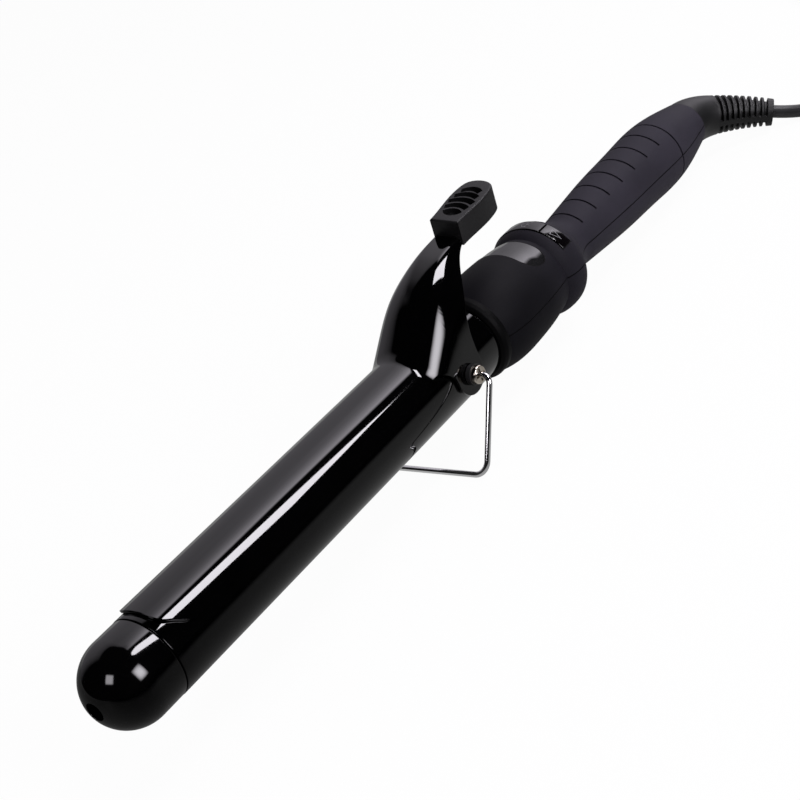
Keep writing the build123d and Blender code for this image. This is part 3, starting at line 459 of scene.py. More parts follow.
# %% [markdown]
# Finger ridges on the plug's broad sides help to pull it. A node tree sets flat spheres in a row
# and joins a second row below, so their count, pitch and size stay free to change.

# %% Finger ridges by Geometry Nodes


def maths(tree, operation, *values):
    """One math node; values are sockets or numbers."""
    node = tree.nodes.new("ShaderNodeMath")
    node.operation = operation
    for socket, value in zip(node.inputs, values):
        if isinstance(value, (int, float)):
            socket.default_value = value
        else:
            tree.links.new(value, socket)
    return node.outputs[0]


ridge_tree, ridge_in, ridge_out = new_tree(
    "finger_ridges",
    {"Count": 6, "Pitch": 0.0022, "Long": 0.011, "Wide": 0.0011, "Start": 0.012, "Rise": 0.0069},
)
rows = ridge_tree.nodes.new("GeometryNodeMeshLine")
bar = ridge_tree.nodes.new("GeometryNodeMeshUVSphere")
for label, number in (("Segments", 16), ("Rings", 8), ("Radius", 0.5)):
    bar.inputs[label].default_value = number
step, first, under, bar_size = (ridge_tree.nodes.new("ShaderNodeCombineXYZ") for _ in range(4))
put = ridge_tree.nodes.new("GeometryNodeInstanceOnPoints")
below = ridge_tree.nodes.new("GeometryNodeTransform")
both = ridge_tree.nodes.new("GeometryNodeJoinGeometry")
ridge_shade = ridge_tree.nodes.new("GeometryNodeSetShadeSmooth")
wired(
    ridge_tree,
    (ridge_in["Pitch"], step.inputs["X"]),
    (ridge_in["Start"], first.inputs["X"]),
    (ridge_in["Rise"], first.inputs["Z"]),
    (maths(ridge_tree, "MULTIPLY", ridge_in["Rise"], -2.0), under.inputs["Z"]),
    (ridge_in["Wide"], bar_size.inputs["X"]),
    (ridge_in["Long"], bar_size.inputs["Y"]),
    (maths(ridge_tree, "MULTIPLY", ridge_in["Wide"], 0.9), bar_size.inputs["Z"]),
    (ridge_in["Count"], rows.inputs["Count"]),
    (step.outputs["Vector"], rows.inputs["Offset"]),
    (first.outputs["Vector"], rows.inputs["Start Location"]),
    (rows.outputs["Mesh"], put.inputs["Points"]),
    (bar.outputs["Mesh"], put.inputs["Instance"]),
    (bar_size.outputs["Vector"], put.inputs["Scale"]),
    (put.outputs["Instances"], below.inputs["Geometry"]),
    (under.outputs["Vector"], below.inputs["Translation"]),
    (put.outputs["Instances"], both.inputs["Geometry"]),
    (below.outputs["Geometry"], both.inputs["Geometry"]),
    (both.outputs["Geometry"], ridge_shade.inputs["Geometry"]),
)
close_tree(ridge_tree, ridge_in, ridge_out, ridge_shade.outputs["Geometry"])
plug_ridges = grow("plug_ridges", bpy.data.meshes.new("empty"), ridge_tree, plug_rubber)
plug_ridges.data.transform(Matrix.Translation(plug_at))
plug_body = new_piece("plug_moulding", plug_mesh, plug_rubber)
print("ridges:", len(plug_ridges.data.polygons), "faces")

# %% [markdown]
# ## Coil strap
# A flat woven strap holds the turns together. It is a loft that closes on itself: out along one
# edge, over the strap's face and back in along the other.

# %% Strap round the coil
strap_weave = make_finish(
    "strap_weave",
    (0.012, 0.012, 0.013),
    (0.03, 0.03, 0.032),
    (0.7, 0.85),
    900.0,
    0.0002,
    slow=500.0,
)
tie_low, tie_high = 0.0008, 0.01375
tie_near, tie_far = coil_middle[0] + 0.0201, coil_middle[0] + 0.0466618
tie_centre = ((tie_near + tie_far) / 2, (tie_low + tie_high) / 2)
tie_corner = 0.001
strap_edge = ((0.0037, 0.0), (0.004, 0.00015), (0.0039, 0.0005), (0.0036, 0.0006))


def strap_ring(y, out):
    """Strap outline seen along the coil's turn, so far out from the turns."""
    wide, high = tie_far - tie_near + 2 * out, tie_high - tie_low + 2 * out
    shape = rounded_box(wide, high, tie_corner + out)
    return [(tie_centre[0] + u, coil_middle[1] + y, tie_centre[1] + v) for u, v in shape]


strap_rings = [strap_ring(-y, out) for y, out in strap_edge]
strap_rings += [strap_ring(y, out) for y, out in reversed(strap_edge)]
strap_mesh = lofted("strap_skin", strap_rings + strap_rings[:1], closed_ends=False)
smooth(strap_mesh, 40)
coil_strap = new_piece("coil_strap", strap_mesh, strap_weave)
print("strap:", len(strap_mesh.polygons), "faces")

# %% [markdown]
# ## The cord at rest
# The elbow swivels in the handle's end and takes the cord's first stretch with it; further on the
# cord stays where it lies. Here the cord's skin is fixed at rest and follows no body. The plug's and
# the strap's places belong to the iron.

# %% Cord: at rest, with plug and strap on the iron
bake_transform(mains_cord)
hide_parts("power_cord", "cord_coil")
for piece, stands_for in ((plug_body, "plug_body"), (coil_strap, "cord_tie")):
    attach(piece, "iron")
    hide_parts(stands_for)
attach(plug_ridges, "iron")

# %% [markdown]
# ## From the iron's own frame to the table
# The iron was drawn with the clip's pivot at the origin and the barrel along X. At rest it leans
# back a few degrees on its stand. Every skin below is drawn in that own frame, in millimetres, and
# laid on the table at the end.

# %% Rest placement
tilt = math.radians(3.217300473248444)
laid = (
    Matrix.Translation((-0.01055880070144785, 0, 0.03168189346935781))
    @ Matrix.Rotation(tilt, 4, "Y")
    @ Matrix.Scale(0.001, 4)
)


def finish_piece(name, mesh, finish, body, slot, *stands_for):
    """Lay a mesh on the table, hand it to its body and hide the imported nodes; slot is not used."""
    piece = new_piece(name, mesh, finish)
    mesh.transform(laid)
    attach(piece, body)
    if stands_for:
        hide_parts(*stands_for)
    return piece


print("pivot is at", [round(v, 4) for v in laid.translation])

# %% [markdown]
# ## Finishes of the iron
# Barrel and clip share a hard gloss coating. The tip is moulded and almost as glossy, the tab and
# the rim ring are matt. The handle has a soft-touch lacquer with a very fine grain, which scatters
# light but hardly mirrors it. Screws are nickel, the stand is drawn chrome wire.

# %% Finishes that are seen
lacquer_mottle = 38.0
gloss_coating = make_finish(
    "gloss_coating",
    (0.0002, 0.0002, 0.00025),
    (0.0005, 0.0005, 0.0006),
    (0.03, 0.055),
    420.0,
    0.0000014,
)
moulded_tip = make_finish(
    "moulded_tip",
    (0.0002, 0.0002, 0.00025),
    (0.0006, 0.0006, 0.0007),
    (0.045, 0.075),
    500.0,
    0.000002,
)
matt_ring = make_finish(
    "matt_ring",
    (0.0004, 0.0004, 0.0005),
    (0.0008, 0.0008, 0.001),
    (0.5, 0.62),
    2400.0,
    0.00003,
    specular=0.07,
)
matt_tab = make_finish(
    "matt_tab",
    (0.004, 0.0039, 0.0043),
    (0.0068, 0.0066, 0.0072),
    (0.42, 0.55),
    2200.0,
    0.00003,
    specular=0.35,
)
soft_touch = make_finish(
    "soft_touch",
    (0.0019, 0.0017, 0.0029),
    (0.0034, 0.0031, 0.005),
    (0.58, 0.7),
    3200.0,
    0.00003,
    slow=lacquer_mottle,
    specular=0.1,
)
key_gloss = make_finish(
    "key_gloss", (0.0014, 0.0011, 0.0014), (0.003, 0.0024, 0.003), (0.06, 0.1), 1200.0, 0.000003
)
# Painted highlight: the pale grey stands in for the light caught along the raised signs' edges.
key_sign_highlight = make_finish(
    "key_sign_highlight", (0.10, 0.10, 0.105), (0.14, 0.14, 0.145), (0.3, 0.4), 2500.0, 0.000004
)
window_gloss = make_finish(
    "window_gloss", (0.008, 0.008, 0.0085), (0.012, 0.012, 0.0125), (0.05, 0.09), 300.0, 0.000001
)
black_bush = make_finish(
    "black_bush", (0.008, 0.008, 0.0085), (0.014, 0.014, 0.0145), (0.3, 0.42), 1800.0, 0.00002
)
boot_rubber = make_finish(
    "boot_rubber",
    (0.0024, 0.0024, 0.0027),
    (0.0042, 0.0042, 0.0046),
    (0.42, 0.56),
    2400.0,
    0.00004,
    specular=0.35,
)
nickel = make_finish(
    "nickel",
    (0.62, 0.55, 0.47),
    (0.79, 0.72, 0.63),
    (0.1, 0.2),
    700.0,
    0.00001,
    metal=1.0,
    slow=400.0,
)
drawn_chrome = make_finish(
    "drawn_chrome",
    (0.9, 0.9, 0.91),
    (0.98, 0.98, 0.98),
    (0.07, 0.14),
    900.0,
    0.000004,
    metal=1.0,
    slow=120.0,
)
print("finishes so far:", len(bpy.data.materials))

# %% [markdown]
# What lies inside gets the finish of its usual material: steel, alloy, ceramic, sleeved wire, a
# green board and brass contacts. It is only seen when the iron is cut open or taken apart.

# %% Finishes of inner pieces
steel = make_finish(
    "steel", (0.42, 0.42, 0.43), (0.56, 0.56, 0.57), (0.25, 0.38), 900.0, 0.00001, metal=1.0
)
spreader_alloy = make_finish(
    "spreader_alloy", (0.5, 0.5, 0.52), (0.65, 0.65, 0.66), (0.3, 0.45), 600.0, 0.00002, metal=1.0
)
heater_ceramic = make_finish(
    "heater_ceramic", (0.72, 0.71, 0.67), (0.82, 0.81, 0.78), (0.45, 0.6), 1500.0, 0.00003
)
lead_sleeve = make_finish(
    "lead_sleeve", (0.5, 0.05, 0.03), (0.62, 0.08, 0.05), (0.4, 0.5), 1200.0, 0.00003
)
fuse_case = make_finish(
    "fuse_case", (0.55, 0.53, 0.48), (0.68, 0.66, 0.6), (0.3, 0.4), 800.0, 0.00001, metal=1.0
)
board_green = make_finish(
    "board_green", (0.01, 0.09, 0.035), (0.02, 0.14, 0.06), (0.3, 0.45), 500.0, 0.00005
)
contact_brass = make_finish(
    "contact_brass",
    (0.62, 0.42, 0.16),
    (0.75, 0.54, 0.24),
    (0.18, 0.3),
    900.0,
    0.00001,
    metal=1.0,
    slow=200.0,
)
print("finishes:", len(bpy.data.materials))

# %% [markdown]
# ## Tone of the handle
# In the photograph the grip is a shade lighter and bluer than the front body. One more pair of
# colours, blended in along the handle by its X coordinate, says so.

# %% Handle tone
tone_from, tone_to = 0.045, 0.1
tone = soft_touch.node_tree
handle_shader = tone.nodes["Principled BSDF"]
handle_where = tone.nodes.new("ShaderNodeTexCoord").outputs["Object"]
along_handle = tone.nodes.new("ShaderNodeSeparateXYZ")
tone.links.new(handle_where, along_handle.inputs[0])
front_tint = handle_shader.inputs["Base Color"].links[0].from_socket
grip_mottle = noise(tone, handle_where, lacquer_mottle, mottle_detail)
grip_tint = tinted(tone, grip_mottle, (0.0195, 0.0178, 0.0245), (0.028, 0.0256, 0.035))
tone_share = ranged(tone, along_handle.outputs["X"], 0.0, 1.0, tone_from, tone_to)
tone_mix = tone.nodes.new("ShaderNodeMix")
tone_mix.data_type = "RGBA"
wired(
    tone,
    (tone_share, tone_mix.inputs["Factor"]),
    (front_tint, tone_mix.inputs["A"]),
    (grip_tint, tone_mix.inputs["B"]),
)
print("handle tone runs from x", tone_from, "to", tone_to, "m")

# %% [markdown]
# The two shells meet in the plane of the axis. Along that seam a hair-thin dark line is painted as
# shade in the joint, found by the distance to that plane. The same painted shade runs as a dark
# hairline round the window, found by the distance to its rounded rectangle.

# %% Handle seams
# Painted shade: a near-black hairline along the seam between the shells and round the window.
seam_shade_colour = (0.0002, 0.0002, 0.0002, 1.0)
shell_shade_band, window_shade_band = (0.00018, 0.0003), (0.0003, 0.00045)
window_mid, window_long, window_half, window_round = 0.0627, 0.0134, 0.0154, 0.0055
tone_maths = partial(maths, tone)


def own_axis(tree, where, axis):
    """Distance of a point from the pivot along one of the iron's own axes, in metres."""
    way = (laid.to_3x3() @ Vector(axis)).normalized()
    dot = tree.nodes.new("ShaderNodeVectorMath")
    dot.operation = "DOT_PRODUCT"
    dot.inputs[1].default_value = way
    tree.links.new(where, dot.inputs[0])
    return maths(tree, "SUBTRACT", dot.outputs["Value"], way.dot(laid.translation))


def outside(tree, value, middle, half):
    """How far a value lies outside a span, or 0."""
    off = maths(tree, "ABSOLUTE", maths(tree, "SUBTRACT", value, middle))
    return maths(tree, "MAXIMUM", maths(tree, "SUBTRACT", off, half), 0.0)


above_seam = own_axis(tone, handle_where, (0, 0, 1))
behind_pivot = own_axis(tone, handle_where, (1, 0, 0))
shell_seam_shade = ranged(tone, tone_maths("ABSOLUTE", above_seam), 1.0, 0.0, *shell_shade_band)
out_x = outside(tone, behind_pivot, window_mid, window_long / 2 - window_round)
out_y = outside(tone, along_handle.outputs["Y"], 0.0, window_half - window_round)
squared = tone_maths("MULTIPLY_ADD", out_x, out_x, tone_maths("MULTIPLY", out_y, out_y))
from_window = tone_maths("SUBTRACT", tone_maths("SQRT", squared), window_round)
window_seam_shade = ranged(tone, from_window, 1.0, 0.0, *window_shade_band)
window_seam_shade = tone_maths("MULTIPLY", window_seam_shade, tone_maths("GREATER_THAN", above_seam, 0.0))
# Mix the painted shade of the seams into the handle's colour.
seam_shade_mix = tone.nodes.new("ShaderNodeMix")
seam_shade_mix.data_type = "RGBA"
seam_shade_mix.inputs["B"].default_value = seam_shade_colour
wired(
    tone,
    (tone_maths("MAXIMUM", shell_seam_shade, window_seam_shade), seam_shade_mix.inputs["Factor"]),
    (tone_mix.outputs["Result"], seam_shade_mix.inputs["A"]),
    (seam_shade_mix.outputs["Result"], handle_shader.inputs["Base Color"]),
)
print("seams: between the shells and round the window")

# %% [markdown]
# ## Barrel, tip and rim ring
# These are turned shapes, so each is a profile spun round the iron's axis. Every outer corner of
# the profile gets a small round first: on gloss black the edge is only seen by the thin line of
# light that such a round catches.

# %% Turned pieces
round_steps, turned_edge = 6, 50


def softened(profile, corners):
    """Round the named corners of a profile; corners gives the radius by point number."""
    line = []
    for i, point in enumerate(profile):
        if i not in corners:
            line.append(point)
            continue
        p, a, b = Vector(point), Vector(profile[i - 1]), Vector(profile[(i + 1) % len(profile)])
        u, v = (a - p).normalized(), (b - p).normalized()
        half = u.angle(v) / 2
        cut = corners[i] / math.tan(half)
        centre = p + (u + v).normalized() * (corners[i] / math.sin(half))
        first, last = p + u * cut - centre, p + v * cut - centre
        for k in range(round_steps + 1):
            mixed = first.slerp(last, k / round_steps)
            line.append(tuple(centre + mixed.normalized() * corners[i]))
    return line


def spun(name, profile, steps=160):
    """Turn a closed profile of (x, radius) round the X axis."""
    points = []
    for x, r in profile:
        for k in range(steps):
            a = 2 * math.pi * k / steps
            points.append((x, r * math.cos(a), r * math.sin(a)))
    return mesh_of(name, points, quads(len(profile), steps, loop=True))


barrel_r, barrel_in, barrel_front, barrel_rear, barrel_rows = 16.0, 15.0, -168.2, 40.0, 24
barrel_long = barrel_rear - barrel_front
barrel_runs = [barrel_front + barrel_long * k / barrel_rows for k in range(barrel_rows + 1)]
barrel_profile = [(x, barrel_r) for x in barrel_runs]
barrel_profile += [(barrel_rear, barrel_in), (barrel_front, barrel_in)]
barrel_mesh = spun("barrel_skin", softened(barrel_profile, {0: 0.22}))
smooth(barrel_mesh, turned_edge)
finish_piece("barrel", barrel_mesh, gloss_coating, "iron", "barrel_coating", "barrel_tube")

tip_r, tip_wall_r, tip_hole_r, tip_screw_r = 15.9, 13.0, 3.5, 1.6
tip_gap, tip_skirt, tip_hole_deep, dome_steps = 0.4, 9.6, 8.0, 40
tip_back = barrel_front - tip_gap
tip_dome = tip_back - tip_skirt
tip_floor = tip_dome - tip_r + tip_hole_deep
hole_angle = math.asin(tip_hole_r / tip_r)
tip_profile = [(tip_back, tip_wall_r), (tip_back, tip_r)]
for k in range(dome_steps + 1):
    a = math.pi / 2 - (math.pi / 2 - hole_angle) * k / dome_steps
    tip_profile.append((tip_dome - tip_r * math.cos(a), tip_r * math.sin(a)))
lip = len(tip_profile) - 1
tip_profile += [(tip_floor, tip_hole_r), (tip_floor, tip_screw_r), (tip_back, tip_screw_r)]
tip_mesh = spun("tip_skin", softened(tip_profile, {1: 0.3, lip: 0.15}))
smooth(tip_mesh, turned_edge)
finish_piece("tip_cap_skin", tip_mesh, moulded_tip, "iron", "tip_plastic", "tip_cap")

rim = [(21.7, 16.05), (21.7, 16.55), (22.7, 17.75), (24.3, 18.35), (26.6, 18.35), (26.6, 16.05)]
rim_mesh = spun("rim_skin", softened(rim, {1: 0.2, 2: 1.2, 3: 1.0, 4: 0.25}))
smooth(rim_mesh, turned_edge)
finish_piece("rim_ring", rim_mesh, matt_ring, "iron", "tip_plastic", "front_rim_ring")
print("turned faces:", [len(mesh.polygons) for mesh in (barrel_mesh, tip_mesh, rim_mesh)])

# %% [markdown]
# ## Hair clip
# The clip is one pressed sheet: a trough that hugs the barrel, a crease, then a humped lever whose
# sides drop as two ears to the pivot. Each cross-section is a curve from the crown down to the
# ear. Two splines along the lever give how far the crown has risen and the sides have drawn in.

# %% Clip cross-sections
clip_out, crease, lever_rear, lever_top = 17.4, -19.0, 32.3, 41.6
crease_soft, lever_roll = 2.6, math.radians(8.0)
lever_twist = math.tan(lever_roll)
stations = (0.0, 0.18, 0.37, 0.56, 0.78, 1.0)
crown_rise = (0.0, 0.335, 0.665, 0.855, 0.97, 1.0)
side_taper = (1.0, 0.89, 0.77, 0.655, 0.52, 6.8 / clip_out)
ear_waist, waist_share = 9.0, 0.37
corner_share, end_drop = 0.293, 3.0
flat_start, flat_gain = 0.3, 4.2
section_steps, ear_step, ear_steps = 16, 0.5, 59


def natural(xs, ys):
    """A cubic spline through points, as a function; its ends run straight on."""
    n = len(xs)
    h = np.diff(xs)
    a, b = np.eye(n), np.zeros(n)
    for i in range(1, n - 1):
        a[i, i - 1 : i + 2] = h[i - 1], 2 * (h[i - 1] + h[i]), h[i]
        b[i] = 6 * ((ys[i + 1] - ys[i]) / h[i] - (ys[i] - ys[i - 1]) / h[i - 1])
    m = np.linalg.solve(a, b)

    def at(x):
        i = int(np.clip(np.searchsorted(xs, x) - 1, 0, n - 2))
        l, r = x - xs[i], xs[i + 1] - x
        bow = (m[i] * r**3 + m[i + 1] * l**3) / (6 * h[i])
        left, right = ys[i] / h[i] - m[i] * h[i] / 6, ys[i + 1] / h[i] - m[i + 1] * h[i] / 6
        return bow + left * r + right * l

    return at


def bent(a, b, da, db, h, t):
    """Point at a share t of a cubic from a to b, of length h, with end directions da and db."""
    t2, t3 = t * t, t**3
    return (
        (2 * t3 - 3 * t2 + 1) * a
        + (t3 - 2 * t2 + t) * h * da
        + (3 * t2 - 2 * t3) * b
        + (t3 - t2) * h * db
    )


def lengths_along(points):
    """Length from the first point of a line to each of its points."""
    steps = np.linalg.norm(np.diff(points, axis=0), axis=1)
    return np.concatenate(([0.0], np.cumsum(steps)))


rise_at, taper_at = natural(stations, crown_rise), natural(stations, side_taper)


def clip_section(x, hand):
    """Half a section from the crown's middle to the ear on one hand, and the lengths along it."""
    past = x - crease
    if abs(past) < crease_soft:
        past = (past + crease_soft) ** 2 / (4 * crease_soft)
    share = max(0.0, past / (lever_rear - crease))
    rise, taper = (rise_at(share), taper_at(share)) if share else (0.0, 1.0)
    crown = clip_out + rise * (lever_top - clip_out)
    waist = ear_waist * min(1.0, share / waist_share)
    shoulder = taper * clip_out * (1 - corner_share * (1 - share))
    drop = corner_share * clip_out * (1 - share) + end_drop * share
    level, slant = flat_start + flat_gain * share, hand * share * lever_twist
    p0 = np.array((level, crown + slant * level))
    p1 = np.array((shoulder, crown - drop + slant * shoulder))
    p2 = np.array((clip_out, waist))
    d0, d2 = np.array((1.0, slant)), np.array((0.0, -1.0))
    d0 = d0 / np.linalg.norm(d0)
    h0, h1 = np.linalg.norm(p1 - p0), np.linalg.norm(p2 - p1)
    d1 = 3 * (h1 / h0 * (p1 - p0) + h0 / h1 * (p2 - p1)) - h1 * d0 - h0 * d2
    d1 = d1 / (2 * (h0 + h1))
    line = [np.array((0.0, crown))]
    for a, b, da, db, h in ((p0, p1, d0, d1, h0), (p1, p2, d1, d2, h1)):
        for t in np.linspace(0, 1, section_steps + 1)[1 if len(line) > 1 else 0 :]:
            line.append(bent(a, b, da, db, h, t))
    line += [np.array((clip_out, waist - ear_step * k)) for k in range(1, ear_steps + 1)]
    line = np.array(line)
    return line, lengths_along(line)


print("crown at the lever's end:", round(clip_section(lever_rear, 1)[0][0, 1], 2))

# %% [markdown]
# The sheet is trimmed along a wavy edge: round the front corners, along the barrel, up over the
# crease, round each ear and up to the lever's end. The edge is drawn from the side. A grid column
# starts at each of its points and swings up to the crown line.

# %% Clip edge
clip_front, ear_r, span_steps = -165.8, 8.0, 24
two_spans = 2 * span_steps


def through(points, first, last):
    """A smooth line through points, with the directions of its two ends."""
    p = np.array(points, float)
    t = lengths_along(p)
    slope = np.gradient(p, t, axis=0)
    slope[0] = np.array(first) / np.linalg.norm(first)
    slope[-1] = np.array(last) / np.linalg.norm(last)
    line = []
    for i in range(len(p) - 1):
        for s in np.linspace(0, 1, span_steps, endpoint=False):
            line.append(bent(p[i], p[i + 1], slope[i], slope[i + 1], t[i + 1] - t[i], s))
    return line + [p[-1]]


front_corner = ((0, clip_out), (1.2, 15.0), (4.9, 12.3), (11, 8.8))
front = through([(clip_front + x, z) for x, z in front_corner], (0, -1), (1, -0.02))
wave = through(
    [(crease - 9, 7.2), (crease - 1, 9.1), (crease + 5, 8.4), (crease + 9.6, 4.2), (-7.6, -2.5)],
    (1, 0),
    (0.312, -0.95),
)
ear = [
    np.array((ear_r * math.cos(a), ear_r * math.sin(a)))
    for a in np.linspace(math.pi + math.asin(2.5 / ear_r), 2 * math.pi, 60)
]
edge_run = (0.0, -0.03, -0.02, 0.07, 0.235, 0.41, 0.61, 0.8, 1.0)
edge_rise = (0.0, 0.2, 0.36, 0.52, 0.66, 0.777, 0.88, 0.95, 1.0)
lever_edge = [
    (ear_r + a * (lever_rear - ear_r), b * (lever_top - end_drop))
    for a, b in zip(edge_run, edge_rise)
]
back = through(lever_edge, (0, 1), (1, 0.35))
crease_at = next(i for i, p in enumerate(wave) if p[0] > crease)
wave[crease_at] = np.array((crease, wave[crease_at][1]))
stretches = (
    (front, clip_front, clip_front + 7.0, 26),
    ([front[-1], wave[0]], clip_front + 7.0, crease - 9, 70),
    (wave[: crease_at + 1], crease - 9, crease, 16),
    (wave[crease_at : two_spans + 1], crease, -7.0, 18),
    (wave[two_spans:], -7.0, -3.5, 18),
    (ear, -3.5, 0.0, 34),
    (back[: two_spans + 1], 0.0, 4.0, 22),
    (back[two_spans:], 4.0, lever_rear, 54),
)
columns = []
for line, x0, x1, count in stretches:
    p = np.array(line)
    t = lengths_along(p)
    for s in np.linspace(0, 1, count + 1)[1 if columns else 0 :]:
        edge = tuple(np.interp(s * t[-1], t, p[:, k]) for k in (0, 1))
        columns.append((x0 + (x1 - x0) * s, edge))
print("clip columns:", len(columns))

# %% [markdown]
# Each column now goes from the crown down to its point of the edge, on both hands. Solidify gives
# the grid the sheet's thickness, a Boolean drills the pivot's hole and a Bevel rounds the rim. A
# tongue from the lever's end holds the thumb tab.

# %% Clip sheet
clip_rows = 36
sheet_thick, pivot_hole_r, drill_half = 1.05, 2.7, 30.0


def clip_column(top_x, edge_x, edge_z, hand):
    """Points of one grid column on one hand, from the crown down to the trimmed edge."""
    line, run = clip_section(edge_x, hand)
    below = np.maximum.accumulate(-line[:, 1])
    reach = np.interp(-edge_z, below, run) if edge_z < line[0, 1] - 1e-6 else 0.0
    column = []
    for j in range(clip_rows + 1):
        share = j / clip_rows
        x = top_x + (edge_x - top_x) * share * share
        line, run = clip_section(x, hand)
        y, z = (np.interp(share * reach, run, line[:, k]) for k in (0, 1))
        column.append((x, hand * y, z))
    return column


clip_points = []
for top_x, (edge_x, edge_z) in columns:
    near, off = (clip_column(top_x, edge_x, edge_z, hand) for hand in (-1, 1))
    clip_points += near[:0:-1] + off
clip_faces = quads(len(columns), 2 * clip_rows + 1, ring=False)
clip_mesh = mesh_of("clip_skin", clip_points, clip_faces)
if sum(f.normal.z * f.area for f in clip_mesh.polygons) < 0:
    clip_mesh.flip_normals()
smooth(clip_mesh, 180)
clip = new_piece("clip", clip_mesh, gloss_coating)
sheet = clip.modifiers.new("sheet", "SOLIDIFY")
sheet.thickness = sheet_thick
sheet.offset = -1.0
sheet.use_even_offset = True
drill_profile = [(-drill_half, 0.01), (-drill_half, pivot_hole_r)]
drill_profile += [(drill_half, pivot_hole_r), (drill_half, 0.01)]
drill = new_piece("drill", spun("drill", drill_profile, 48), gloss_coating)
drill.data.transform(Matrix.Rotation(math.pi / 2, 4, "Z"))
hole = clip.modifiers.new("hole", "BOOLEAN")
hole.operation = "DIFFERENCE"
hole.object = drill
rim_round = clip.modifiers.new("rim", "BEVEL")
rim_round.width = 0.28
rim_round.segments = 3
rim_round.limit_method = "ANGLE"
rim_round.angle_limit = math.radians(50)
rim_round.harden_normals = False
settle(clip)
bpy.data.objects.remove(drill)
smooth(clip.data, 60)
clip.data.transform(laid)
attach(clip, "clip")
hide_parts("clip_plate")
tongue_rings = [
    [(x, y, lever_top - 0.74 + z) for y, z in rounded_box(7.2, sheet_thick, 0.3)]
    for x in (lever_rear - 1.5, lever_rear + 11.0)
]
tongue_mesh = lofted("tongue_skin", tongue_rings)
smooth(tongue_mesh, 40)
finish_piece("clip_tongue", tongue_mesh, gloss_coating, "clip", "barrel_coating")
print("clip:", len(clip.data.polygons), "faces")

# %% [markdown]
# ## Clip spring
# A leaf riveted to the barrel pushes up under the lever and has to give way when the clip opens.
# Here its skin is laid in place at rest and follows no body.

# %% Clip spring
leaf_wide, leaf_thick, leaf_corner = 8.0, 0.6, 0.2
leaf_bend, arm_steps = 3.2, 14
leaf_line = softened([(18.0, 16.6), (-1.5, 16.6), (11.0, 34.3)], {1: leaf_bend})
arm_low, arm_high = (Vector(point) for point in leaf_line[-2:])
arm = [tuple(arm_low.lerp(arm_high, k / arm_steps)) for k in range(1, arm_steps + 1)]
leaf_line = leaf_line[:-1] + arm
leaf_rings = []
for i, (x, z) in enumerate(leaf_line):
    before, after = leaf_line[max(i - 1, 0)], leaf_line[min(i + 1, len(leaf_line) - 1)]
    run = (Vector(after) - Vector(before)).normalized()
    section = rounded_box(leaf_wide, leaf_thick, leaf_corner)
    leaf_rings.append([(x - run.y * t, y, z + run.x * t) for y, t in section])
leaf_mesh = lofted("spring_skin", leaf_rings)
smooth(leaf_mesh, 40)
leaf_mesh.transform(laid)
spring = new_piece("spring_skin", leaf_mesh, steel)
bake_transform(spring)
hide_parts("clip_spring")
print("spring:", len(leaf_mesh.polygons), "faces")

# %% [markdown]
# ## Wire stand
# The stand is one chrome wire bent to a U. A polyline with rounded corners goes through the same
# tube tree as the cord, because both are a round section swept along a path.

# %% Stand wire
lean = math.radians(32.7)
wire_r, wire_end, stand_half, stand_leg, bend_steps = 1.15, 18.9, 26.0, 37.7, 12
stand_corners = [
    (-wire_end, 0.0, 0.0),
    (-stand_half, 0.0, 3.6),
    (-stand_half, -stand_leg, 5.5),
    (stand_half, -stand_leg, 5.5),
    (stand_half, 0.0, 3.6),
    (wire_end, 0.0, 0.0),
]
stand_line = []
for i, (y, s, r) in enumerate(stand_corners):
    p = Vector((y, s))
    if not r:
        stand_line.append(p)
        continue
    u = (Vector(stand_corners[i - 1][:2]) - p).normalized()
    v = (Vector(stand_corners[i + 1][:2]) - p).normalized()
    for k in range(bend_steps + 1):
        a = math.pi / 2 * k / bend_steps
        stand_line.append(p + (u + v) * r - u * r * math.sin(a) - v * r * math.cos(a))
stand_path = [(s * math.sin(lean), y, s * math.cos(lean)) for y, s in stand_line]
wire_line = bpy.data.meshes.new("stand_line")
wire_line.from_pydata(stand_path, [(i, i + 1) for i in range(len(stand_path) - 1)], [])
stand = grow("stand", wire_line, tube_tree, drawn_chrome, Radius=wire_r, Sides=28)
stand.data.transform(laid)
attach(stand, "stand")
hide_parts("stand_wire")
print("stand:", len(stand.data.polygons), "faces")

# %% [markdown]
# ## Strain relief
# The rubber boot leaves the handle, bends to the side and tapers to the cord. First comes a plain
# bent tube. It carries three attributes for its slots: the length along it, the way outward and
# the distance from the two webs that hold its ribs together.

# %% Bent tube with attributes
boot_x, boot_elbow, boot_ribs, boot_rows = 214.7, 19.0, 29.0, 240
elbow_turn, tip_turn = math.radians(44.0), math.radians(66.0)
boot_roll, boot_sag = math.radians(20.1), 0.45
collar_r, elbow_taper, neck_r, rib_taper = 11.3, 1.95, 9.35, 3.1
fan_step, web_clear = 5.0, 16
forward = Vector((1, 0, 0))
sideways = Vector((0, -math.cos(boot_roll), -math.sin(boot_roll)))
cross = forward.cross(sideways)


def boot_turn(along):
    """Angle the boot has turned by at this length of its centreline."""
    if along <= boot_elbow:
        return elbow_turn * along / boot_elbow
    return elbow_turn + (tip_turn - elbow_turn) * (along - boot_elbow) / boot_ribs


def boot_radius(along):
    """Outer radius of the boot."""
    if along <= boot_elbow:
        return collar_r - elbow_taper * (along / boot_elbow) ** 1.5
    return neck_r - rib_taper * (along - boot_elbow) / boot_ribs


